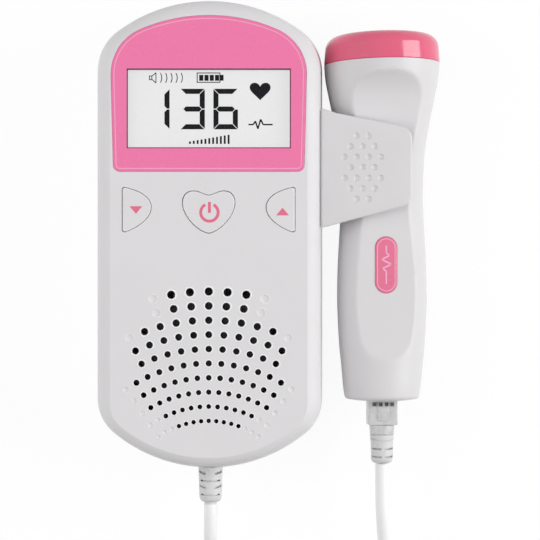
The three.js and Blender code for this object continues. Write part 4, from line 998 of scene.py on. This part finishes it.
# %% Screws
def screw_tool(head, head_height, shank, length, seat):
    low = seat - head_height
    profile = [[0, low], [head * 0.72, low], [head * 0.92, low + 0.16], [head, low + 0.5], [head, seat]]
    profile += [[shank, seat], [shank, seat + length - 1], [shank * 0.3, seat + length], [0, seat + length]]
    piece = turned("screw", profile, 32)
    cross, line = head * 0.55, head * 0.11
    carve(piece, box_piece("slot", (-cross, cross), (-line, line), (low - 1, low + 0.8)))
    carve(piece, box_piece("slot", (-line, line), (-cross, cross), (low - 1, low + 0.8)))
    return smooth(piece)


case_places = [(UNIT_X + x, y, 0) for x, y in SCREW_PLACES]
case_screws = copies_of("case_screws", screw_tool(2.6, 1.8, 1.25, 16, 8), case_places, [1.0] * 4)
probe_places = [(0, y, 0) for y in PROBE_SCREWS]
probe_screws = copies_of("probe_screws", screw_tool(1.9, 1.3, 0.9, 5, SCREW_SEAT), probe_places, [1.0] * 2)
placed(probe_screws, PROBE_PLACE)
print("screws:", len(case_places) + len(probe_places))

# %% [markdown]
# ## Plug, boot and strain relief
# A clear modular plug with a spring latch sits in the probe's tail, and four blades show through it.
# Their metal is coloured nearly black as painted shade from the tail above them. Behind the plug a
# white boot has slots that let it bend, and the same kind of slotted sleeve guards the lead where it
# leaves the case. Each slot goes round a core, so its tool is a bowed plate with the core and the two
# sides taken out of it.

# %% Plug
BLADES, BLADE_SLOT = (-49.6, -48.7), (-49.8, -48.5)
plug = rounded(box_piece("plug", (-4.15, 4.15), (-55.2, -38.6), (-3.35, 3.35)), 0.35, 3)
latch = rounded(box_piece("latch", (-1.6, 1.6), (-53.88, -38.6), (2.5, 3.99)), 0.25, 2)
join(plug, latch)
# The blades get a near-black metal below, as painted shade from the tail above them.
contacts = box_piece("contacts", (-3.1, 3.1), BLADES, (1.65, 2.15))
for x in (-2.6, -0.87, 0.87, 2.6):
    join(contacts, box_piece("blade", (x - 0.45, x + 0.45), BLADES, (1.9, 3.3)))
    carve(plug, box_piece("comb slot", (x - 0.55, x + 0.55), BLADE_SLOT, (1.55, 9)))
carve(plug, box_piece("strip slot", (-3.2, 3.2), BLADE_SLOT, (1.55, 2.25)))
smooth(placed(plug, PROBE_PLACE))
placed(contacts, PROBE_PLACE)
print("plug:", len(plug.data.polygons), "faces")

# %% Boot and strain relief
ALONG_LEAD = Matrix.Rotation(math.pi / 2, 4, "X")


def slot_tool(y, reach, web, core, bow, width):
    """A bowed slot over the front and back, down to a core, with or without a web in its middle."""
    line = [(x, y - bow * (1 - (x / 3.3) ** 2)) for x in np.linspace(-reach, reach, 17)]
    ring = [(x, at - width / 2) for x, at in line] + [(x, at + width / 2) for x, at in reversed(line)]
    tool = plate("slot", ring, -9, 9)
    carve(tool, box_piece("sides", (-9, 9), (y - 3, y + 3), (-0.9, 0.9)))
    if web:
        carve(tool, box_piece("web", (-web, web), (y - 3, y + 3), (-10, 10)))
    return carve(tool, placed(turned("core", [[0, -99], [core, -99], [core, 99], [0, 99]], 32), ALONG_LEAD))


def sleeve(name, profile, slots):
    piece = placed(turned(name, profile, 64), ALONG_LEAD)
    for slot in slots:
        carve(piece, slot_tool(*slot))
    return smooth(piece, 35)


collar = turned("collar", [[0, 55.3], [3.5, 55.3], [3.6, 55.45], [3.5, 57.9], [3.4, 58.0], [0, 58.0]], 64)
smooth(placed(placed(collar, ALONG_LEAD), PROBE_PLACE))
boot_profile = [[0, 58.05], [3.38, 58.05], [3.46, 58.15], [3.4, 59.0], [3.25, 60.2], [3.2, 64.6]]
boot_profile += [[3.1, 65.3], [2.85, 65.8], [2.4, 66.1], [2.0, 66.2], [0, 66.2]]
boot_slots = [(-59.1, 3.4, 0, 3.0, 0.65, 0.22)] + [(y, 2.95, 0.5, 2.1, 0.2, 0.55) for y in (-61.9, -64.2)]
boot = placed(sleeve("boot", boot_profile, boot_slots), PROBE_PLACE)
relief_profile = [[0, 63.5], [4.5, 63.5], [4.5, 64.7], [2.7, 64.7], [2.7, 66.2], [3.4, 66.2], [3.58, 66.4]]
relief_profile += [[3.25, 75.8], [3.05, 76.6], [2.65, 77.2], [2.1, 77.45]]
relief_profile += [[1.8, 77.5], [1.8, 78.3], [0, 78.3]]
relief_slots = [(-66.95, 2.9, 0, 2.0, 0.15, 0.4), (-68.6, 3.2, 1.35, 2.0, 0.7, 0.7)]
relief_slots += [(-71.05, 2.8, 0, 2.6, 0.25, 0.5), (-72.6, 3.15, 1.3, 2.2, 0.75, 0.65)]
relief_slots += [(-75.05, 2.7, 0, 2.6, 0.35, 0.45)]
relief = placed(sleeve("relief", relief_profile, relief_slots), shift(-16.85, 0, 17))
print("boot and relief:", len(boot.data.polygons), len(relief.data.polygons), "faces")

# %% [markdown]
# ## The band round the coil
# A short hook-and-loop band keeps the coil together. It is a rounded loop, so its outline is drawn
# flat, given the band's width as thickness, and turned upright over the coil.

# %% Band
TIE_ALONG = Matrix(((0, 0, 1, 0), (1, 0, 0, 0), (0, 1, 0, 0), (0, 0, 0, 1)))
BAND_PLACE, BAND_THICKNESS = -141.1, 0.6
band = plate("band", rectangle(21.4, 0, 9.95, 3, BAND_PLACE), 4.35, 11.35)
carve(band, plate("inside", rectangle(20.2, BAND_THICKNESS, 9.35, 2.4, BAND_PLACE), 4, 12))
smooth(placed(rounded(band, 0.12, 2), TIE_ALONG))
print("band:", len(band.data.polygons), "faces")

# %% [markdown]
# ## Finishes
# Every finish is procedural and lies in the piece's own space, so that it stays put when the piece
# moves. Moulded plastic is never quite even: it has a fine grain from the mould, a slight wave, and a
# gloss that changes a little over its surface. A few helpers add these to a plain shader.


# %% Helpers for finishes
def feed(tree, socket, given):
    """Gives a socket a link from another one, or a plain value."""
    if isinstance(given, bpy.types.NodeSocket):
        tree.links.new(given, socket)
    else:
        socket.default_value = given


def add_node(tree, kind, **given):
    """A shader node with what its sockets are given. An underscore stands for a space."""
    node = tree.nodes.new("ShaderNode" + kind)
    for name, value in given.items():
        feed(tree, node.inputs[name.replace("_", " ")], value)
    return node


def shader_input(finish, socket):
    return finish.node_tree.nodes["Principled BSDF"].inputs[socket]


def new_finish(name, colour, roughness, **more):
    finish = bpy.data.materials.new(name)
    finish.use_nodes = True
    shader_input(finish, "Base Color").default_value = (*colour, 1)
    shader_input(finish, "Roughness").default_value = roughness
    for socket, value in more.items():
        shader_input(finish, socket.replace("_", " ")).default_value = value
    return finish


def own_space(tree, stretch=(1, 1, 1)):
    """Places in the piece's own space, in millimetres, drawn out along an axis if asked."""
    place = add_node(tree, "TexCoord").outputs["Object"]
    return add_node(tree, "Mapping", Vector=place, Scale=[1000 / s for s in stretch]).outputs["Vector"]


def lumps(finish, size, detail, stretch=(1, 1, 1)):
    """Soft random lumps of about this size in millimetres."""
    place = own_space(finish.node_tree, stretch)
    noise = add_node(finish.node_tree, "TexNoise", Vector=place, Scale=1 / size, Detail=detail)
    return noise.outputs["Fac"]


def raise_by(finish, height, depth):
    """Adds a height in millimetres to the finish, on top of any that it has."""
    tree, normal = finish.node_tree, shader_input(finish, "Normal")
    bump = add_node(tree, "Bump", Distance=depth * MM, Height=height)
    if normal.is_linked:
        feed(tree, bump.inputs["Normal"], normal.links[0].from_socket)
    feed(tree, normal, bump.outputs["Normal"])
    return finish


def spread(finish, value, low, high, start=0.3, end=0.7):
    """Turns a value that runs from start to end into one that runs from low to high."""
    ends = {"From_Min": start, "From_Max": end, "To_Min": low, "To_Max": high}
    return add_node(finish.node_tree, "MapRange", Value=value, **ends).outputs["Result"]


def vary(finish, socket, value, low, high):
    """Lets a shader's number run from low to high with a value."""
    feed(finish.node_tree, shader_input(finish, socket), spread(finish, value, low, high))


def colours(finish, value, *steps, sharp=False):
    """Colours the finish by a value, from pairs of a place and a colour."""
    ramp = add_node(finish.node_tree, "ValToRGB", Fac=value)
    ramp.color_ramp.interpolation = "CONSTANT" if sharp else "LINEAR"
    places = ramp.color_ramp.elements
    while len(places) < len(steps):
        places.new(0.5)
    for element, (place, colour) in zip(places, steps):
        element.position = place
        element.color = (*colour, 1)
    feed(finish.node_tree, shader_input(finish, "Base Color"), ramp.outputs["Color"])


def mottled(finish, size, detail, dark, light):
    """Soft lumps of two colours."""
    colours(finish, lumps(finish, size, detail), (0.3, dark), (0.7, light))


def lighter(colour, share):
    return [min(part * share, 1.0) for part in colour]


print("finish helpers are ready")

# %% [markdown]
# ## Moulded plastics
# The case, its buttons, the clip and the probe are satin off-white. The surround, the cap and the
# badge are pink and glossier, and the cap is the glossiest because a smooth skin spreads the gel
# evenly. One recipe makes them all, with its own colour, gloss, grain and wave for each.

# %% Plastics
def moulded(name, colour, roughness, grain_depth, wave_depth, tone=0.012, **more):
    finish = new_finish(name, colour, roughness, **more)
    mottled(finish, 14, 2, lighter(colour, 1 - tone), lighter(colour, 1 + tone))
    vary(finish, "Roughness", lumps(finish, 5, 3), roughness - 0.04, roughness + 0.04)
    raise_by(finish, lumps(finish, 9, 1), wave_depth)
    return raise_by(finish, lumps(finish, 0.4, 2), grain_depth)


WHITE = (0.8, 0.785, 0.798)
satin_bezel, glossy_cap = {"Specular_IOR_Level": 0.35}, {"Coat_Weight": 0.4, "Coat_Roughness": 0.07}
looks = {
    "white_case": moulded("satin white case", WHITE, 0.5, 0.0035, 0.01),
    "white_button": moulded("satin white button", WHITE, 0.42, 0.0025, 0.008),
    "pink_bezel": moulded("pink surround", (0.955, 0.212, 0.44), 0.28, 0.0006, 0.0008, 0.006, **satin_bezel),
    # Pale pink for the badge's printed pulse line, and for narrow bands that are painted highlights on the
    # surround, the cap and the badge.
    "pale_pink": moulded("pale pink edge", (0.97, 0.5, 0.68), 0.3, 0.001, 0.002, 0.02),
    # Paler copies of the white for the grille's rims and the buttons' edge lines: painted highlights.
    "bright_rim": moulded("bright rim", (0.97, 0.965, 0.97), 0.4, 0.001, 0.001, 0.01),
    "soft_rim": moulded("soft rim", (0.87, 0.86, 0.87), 0.4, 0.001, 0.001, 0.01),
    "white_probe": moulded("satin white probe", (0.745, 0.731, 0.742), 0.46, 0.003, 0.008),
    "pink_cap": moulded("glossy pink cap", (0.82, 0.112, 0.217), 0.16, 0.0002, 0.006, 0.02, **glossy_cap),
    "pink_badge": moulded("pink badge", (0.84, 0.19, 0.325), 0.3, 0.001, 0.006, 0.02),
    "pink_mark": moulded("pink print", (0.83, 0.17, 0.285), 0.5, 0.002, 0.002, 0.03),
    "black_plastic": moulded("black plastic", (0.02, 0.02, 0.022), 0.45, 0.004, 0.01, 0.1),
}
print("plastics:", ", ".join(looks))

# %% [markdown]
# ## The display
# The display is on, so its pale glass glows as if lit from behind. The glow stands for a backlight
# and is set strong enough that it also paints light into the shade of the recess round the glass.
# Its signs are nearly black. The window over it is clear, so it lets almost all light straight
# through. The diffuser behind the glass is milky.

# %% Display
# A backlight's glow, strong enough to paint out the shade that the recess casts on the glass.
backlight_and_painted_fill = {"Emission_Strength": 0.65, "Emission_Color": (1, 1, 1, 1)}
glass = new_finish("lit display glass", (0.22, 0.22, 0.22), 0.3, **backlight_and_painted_fill)
mottled(glass, 20, 1, (0.21, 0.212, 0.212), (0.23, 0.232, 0.232))
vary(glass, "Roughness", lumps(glass, 0.5, 2), 0.26, 0.34)
looks["display_glass"] = raise_by(glass, lumps(glass, 0.3, 1), 0.0005)
looks["display_ink"] = new_finish("display signs", (0.008, 0.008, 0.01), 0.6, Specular_IOR_Level=0.15)
mottled(looks["display_ink"], 3, 2, (0.006, 0.006, 0.008), (0.01, 0.01, 0.013))
window = new_finish("clear window", (0.03, 0.03, 0.03), 0.06, Alpha=0.025, Specular_IOR_Level=0.15)
vary(window, "Roughness", lumps(window, 6, 3), 0.04, 0.09)
looks["clear_window"] = raise_by(window, lumps(window, 15, 1), 0.004)
looks["white_diffuser"] = moulded("milky diffuser", (0.86, 0.87, 0.87), 0.55, 0.002, 0.004, 0.01)
print("display finishes:", glass.name, window.name)

# %% [markdown]
# ## Rubber, cable and band
# The lead, its boot and its sleeve are soft white plastic with a faint ripple from the extruder. The
# plug is clear, a little cloudy where the mould joined. The band is woven, so two sets of fine ridges
# cross on it, and the button plungers are matt grey rubber.

# %% Soft finishes
def ridges(finish, size, axis):
    """Fine parallel ridges across an axis of the piece's own space."""
    tree = finish.node_tree
    wave = add_node(tree, "TexWave", Vector=own_space(tree), Scale=0.314 / size, Distortion=0.4)
    wave.bands_direction = axis
    return wave.outputs["Fac"]


def woven(finish, dark, light, across, along, depth):
    """Two sets of ridges that cross, each with its size and depth."""
    colours(finish, ridges(finish, across, "X"), (0.2, dark), (0.8, light))
    raise_by(finish, ridges(finish, across, "X"), depth[0])
    return raise_by(finish, ridges(finish, along, "Y"), depth[1])


# The cable is white, and its white is set paler than that of its boot and sleeve as painted light, standing
# in for more light falling on the lead.
looks["cord_jacket"] = moulded("white cable jacket", (0.97, 0.97, 0.975), 0.42, 0.003, 0.02, 0.008)
looks["cord_boot"] = moulded("soft white sleeve", (0.73, 0.725, 0.732), 0.48, 0.004, 0.01)
clear = new_finish("clear plug", (0.69, 0.685, 0.695), 0.16, Alpha=0.62)
mottled(clear, 2.5, 2, (0.64, 0.635, 0.645), (0.74, 0.735, 0.74))
vary(clear, "Alpha", lumps(clear, 3, 2), 0.52, 0.72)
looks["clear_plug"] = raise_by(clear, lumps(clear, 3, 1), 0.02)
looks["grey_rubber"] = moulded("grey rubber", (0.075, 0.075, 0.083), 0.75, 0.01, 0.01, 0.08)
strap = new_finish("woven band", (0.8, 0.8, 0.81), 0.85, Sheen_Weight=0.3)
looks["tie_band"] = woven(strap, (0.7, 0.7, 0.71), (0.83, 0.83, 0.84), 0.8, 1.1, (0.06, 0.05))
print("soft finishes:", clear.name, strap.name)

# %% [markdown]
# ## Inside finishes
# These show through the grille, in the battery bay and when the object is taken apart: the speaker's
# cloth, cone, basket and magnet, the cells and their springs, the boards, the screws, and the two
# ceramic crystals in the probe's head. Each gets the grain of its own stuff.

# %% Metals
def metal(name, colour, roughness, brush):
    """A metal with fine brush marks drawn out along one axis."""
    finish = new_finish(name, colour, roughness, Metallic=1.0)
    marks = lumps(finish, 0.3, 3, brush)
    colours(finish, marks, (0.3, lighter(colour, 0.86)), (0.7, lighter(colour, 1.08)))
    vary(finish, "Roughness", marks, roughness - 0.08, roughness + 0.1)
    return raise_by(finish, marks, 0.004)


looks["plain_steel"] = metal("plated steel", (0.56, 0.57, 0.585), 0.36, (1, 1, 18))
looks["screw_steel"] = metal("zinc-plated screws", (0.5, 0.51, 0.53), 0.34, (6, 6, 1))
# Near-black plated blades: the dark colour is painted shade from the probe's tail, not the metal's own.
looks["contact_brass"] = metal("worn plated blades", (0.13, 0.12, 0.11), 0.45, (1, 8, 1))
magnet = new_finish("sintered magnet", (0.1, 0.105, 0.11), 0.6, Metallic=0.6)
mottled(magnet, 0.6, 4, (0.07, 0.072, 0.078), (0.14, 0.145, 0.15))
looks["magnet"] = raise_by(magnet, lumps(magnet, 0.4, 3), 0.03)
print("metals:", magnet.name)

# %% Cloth, paper, boards, cells and crystals
def along_axis(finish, axis):
    """The place along one axis of the piece's own space, in metres."""
    place = add_node(finish.node_tree, "TexCoord").outputs["Object"]
    return add_node(finish.node_tree, "SeparateXYZ", Vector=place).outputs[axis]


cloth = new_finish("speaker cloth", (0.012, 0.012, 0.014), 0.9, Sheen_Weight=0.1)
looks["black_cloth"] = woven(cloth, (0.016, 0.016, 0.018), (0.05, 0.05, 0.055), 0.5, 0.5, (0.05, 0.05))
cone = new_finish("paper cone", (0.07, 0.065, 0.055), 0.85)
mottled(cone, 0.8, 5, (0.05, 0.046, 0.04), (0.095, 0.088, 0.076))
looks["paper_cone"] = raise_by(cone, lumps(cone, 0.5, 4), 0.05)
board = new_finish("circuit board", (0.015, 0.14, 0.045), 0.35)
tracks = ridges(board, 1.4, "X")
colours(board, tracks, (0.0, (0.012, 0.12, 0.04)), (0.62, (0.03, 0.2, 0.075)), sharp=True)
looks["circuit_board"] = raise_by(board, tracks, 0.03)
cell = new_finish("cell jacket", (0.06, 0.1, 0.18), 0.32, Metallic=0.5)
NAVY, SILVER = (0.05, 0.085, 0.16), (0.5, 0.5, 0.52)
stripe = spread(cell, along_axis(cell, "Y"), 0, 1, -0.0025, 0.0515)
colours(cell, stripe, (0.0, SILVER), (0.1, NAVY), (0.3, SILVER), (0.33, NAVY), (0.92, SILVER), sharp=True)
looks["cell_jacket"] = raise_by(cell, lumps(cell, 4, 2), 0.02)
crystal = new_finish("fired ceramic", (0.68, 0.62, 0.5), 0.4)
mottled(crystal, 0.7, 4, (0.6, 0.54, 0.43), (0.76, 0.7, 0.58))
looks["crystal"] = raise_by(crystal, lumps(crystal, 0.5, 3), 0.01)
print("finishes in all:", len(looks))

# %% [markdown]
# ## Finishes on the solids that stay
# Pieces such as the boards, the speaker, the cells and the window keep their solids, which already
# have the right shape. Each solid came with the name of its material slot, so one loop gives each
# one the finish of that slot.

# %% Dress the solids
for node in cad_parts.values():
    for slot in node.material_slots:
        slot.material = looks[slot.material.name.split(".")[0]]
print("solids dressed:", len(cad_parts))

# %% [markdown]
# ## Finishes on the new pieces, and what each one rides
# Every row names a new piece, its finish, the slot that it stands for, and the body that it moves
# with. The piece gets the finish and moves with the body. Where it takes the place of a solid, that
# solid is named too, so that it is hidden.


# %% Dress and ride
def dress(piece, look, slot, body, *stands_for):
    piece.data.materials.clear()
    piece.data.materials.append(looks[look])
    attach(piece, body)
    if stands_for:
        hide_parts(*stands_for)


case_screw_names = [f"case_screw_{number}" for number in (1, 2, 3, 4)]
for row in (
    (case_front, "white_case", "white_case", "main_unit", "front_case"),
    (case_rear, "white_case", "white_case", "main_unit", "rear_case"),
    (clip, "white_probe", "white_case", "main_unit", "holster"),
    (bezel, "pink_bezel", "pink_bezel", "main_unit", "display_bezel"),
    (bezel_line, "pale_pink", "pink_bezel", "main_unit"),
    (gasket, "grey_rubber", "grey_rubber", "main_unit"),
    (hole_rims, "bright_rim", "white_case", "main_unit"),
    (dimple_rims, "soft_rim", "white_case", "main_unit"),
    (display_signs, "display_ink", "black_plastic", "main_unit"),
    (case_screws, "screw_steel", "screw_steel", "main_unit", *case_screw_names),
    (relief, "cord_boot", "cord_jacket", "main_unit", "cord_relief"),
    (band, "tie_band", "tie_band", "main_unit", "cord_tie"),
    (cover, "white_case", "white_case", "cover", "battery_cover"),
    *[row for name in button_caps for row in (
        (button_caps[name], "white_button", "white_button", name + "_button", "button_" + name),
        (button_marks[name], "pink_mark", "pink_badge", name + "_button"),
        (button_painted_highlights[name], "soft_rim", "white_button", name + "_button"),
    )],
    (shell_front, "white_probe", "white_case", "probe", "probe_front_shell"),
    (shell_rear, "white_probe", "white_case", "probe", "probe_rear_shell"),
    (probe_cap, "pink_cap", "pink_cap", "probe", "probe_cap"),
    (cap_line, "pale_pink", "pink_cap", "probe"),
    (badge, "pink_badge", "pink_badge", "probe", "probe_badge"),
    (badge_mark, "pale_pink", "pink_badge", "probe"),
    (badge_line, "pale_pink", "pink_badge", "probe"),
    (probe_screws, "screw_steel", "screw_steel", "probe", "probe_screw_1", "probe_screw_2"),
    (plug, "clear_plug", "clear_plug", "probe", "plug_body"),
    (collar, "clear_plug", "clear_plug", "probe"),
    (contacts, "contact_brass", "contact_brass", "probe", "plug_contacts"),
    (boot, "cord_boot", "cord_jacket", "probe", "plug_boot"),
):
    dress(*row)
print("pieces dressed")

# %% [markdown]
# ## The lead
# The lead gets its finish and takes the place of the three stretches of cord among the solids, which
# are hidden. Its place is put into its mesh.

# %% Lead
lead.data.materials.append(looks["cord_jacket"])
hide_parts("cord_main_stretch", "cord_coil", "cord_probe_stretch")
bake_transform(lead)

# %% [markdown]
# ## Floor and background
# The photograph has a plain white ground. The floor is a pale surface that the camera sees as nearly
# white, with a share of its real shading left in, so that a soft shadow stays under the object. Only
# what the camera and reflections see is changed, so the floor adds no more light than a real one.


# %% Floor and world
REFLECTED = 0.75
FLOOR_SHARE, FADE_START, FADE_END = 0.89, 0.25, 0.7
FLOOR_HALF, FLOOR_WHITE, SKY_LEVEL = 1600, 1.03, 0.29


def math_node(tree, operation, first, second):
    made = add_node(tree, "Math")
    made.operation = operation
    feed(tree, made.inputs[0], first)
    feed(tree, made.inputs[1], second)
    return made.outputs["Value"]


def seen_from_camera(tree):
    """One for what the camera sees straight or through glass, less in a reflection, and zero otherwise."""
    rays = add_node(tree, "LightPath").outputs
    seen = math_node(tree, "MAXIMUM", rays["Is Camera Ray"], rays["Is Transmission Ray"])
    return math_node(tree, "MAXIMUM", seen, math_node(tree, "MULTIPLY", rays["Is Glossy Ray"], REFLECTED))


def share_with_distance(tree):
    """The share of plain white in the floor, which grows to all of it away from the object."""
    length = add_node(tree, "VectorMath")
    length.operation = "LENGTH"
    feed(tree, length.inputs[0], add_node(tree, "TexCoord").outputs["Object"])
    ends = {"From_Min": FADE_START, "From_Max": FADE_END, "To_Min": FLOOR_SHARE}
    fade = add_node(tree, "MapRange", Value=length.outputs["Value"], **ends)
    fade.interpolation_type = "SMOOTHSTEP"
    return fade.outputs["Result"]


def blend_in(tree, share, real, bright, output):
    """Sends a blend of what is real and what is bright to the output."""
    blend = add_node(tree, "MixShader", Fac=share)
    feed(tree, blend.inputs[1], real)
    feed(tree, blend.inputs[2], bright)
    feed(tree, tree.nodes[output].inputs["Surface"], blend.outputs["Shader"])


reach = (-FLOOR_HALF, FLOOR_HALF)
floor = new_piece("floor", at_height(square(reach, reach), 0), [(0, 1, 2, 3)])
ground = moulded("pale ground", (0.86, 0.86, 0.86), 0.9, 0.002, 0.01, 0.004)
tree = ground.node_tree
share = math_node(tree, "MULTIPLY", share_with_distance(tree), seen_from_camera(tree))
white = add_node(tree, "Emission", Strength=FLOOR_WHITE).outputs["Emission"]
blend_in(tree, share, tree.nodes["Principled BSDF"].outputs["BSDF"], white, "Material Output")
floor.data.materials.append(ground)

world = bpy.data.worlds.new("studio")
bpy.context.scene.world = world
world.use_nodes = True
tree = world.node_tree
sky = tree.nodes["Background"]
for socket, value in (("Color", (1, 1, 1, 1)), ("Strength", SKY_LEVEL)):
    sky.inputs[socket].default_value = value
backdrop = add_node(tree, "Background", Color=(1, 1, 1, 1), Strength=1.0).outputs["Background"]
blend_in(tree, seen_from_camera(tree), sky.outputs["Background"], backdrop, "World Output")
print("sky level:", SKY_LEVEL)

# %% [markdown]
# ## Lamps
# The photograph was lit by large soft lamps: one overhead and to the left, a strong one low on the
# right and a weaker one low on the left. A small one gives the glossy cap its narrow highlight. The
# right edge of the case is its brightest part and the lower edge its darkest, which sets how strong
# each lamp is. The overhead and the left lamp stay out of reflections, where the photograph has none.


# %% Lamps
LAMP_DISTANCE = 0.9


def softbox(name, direction, size, watts, reflects=True):
    lamp = bpy.data.lights.new(name, "AREA")
    lamp.shape = "SQUARE"
    lamp.size = size
    lamp.energy = watts
    holder = bpy.data.objects.new(name, lamp)
    aim = Vector(direction).normalized()
    holder.location = aim * LAMP_DISTANCE
    holder.rotation_euler = aim.to_track_quat("Z", "Y").to_euler()
    holder.visible_glossy = reflects
    bpy.context.scene.collection.objects.link(holder)


softbox("overhead softbox", (-0.45, 0.12, 1), 0.9, 1.85, reflects=False)
softbox("right softbox", (0.88, 0.05, 0.5), 0.6, 5.2)
softbox("left softbox", (-0.78, 0.05, 0.6), 0.6, 2.2, reflects=False)
softbox("narrow softbox", (-0.55, 0.08, 0.83), 0.12, 0.05)
print("lamps:", len(bpy.data.lights))
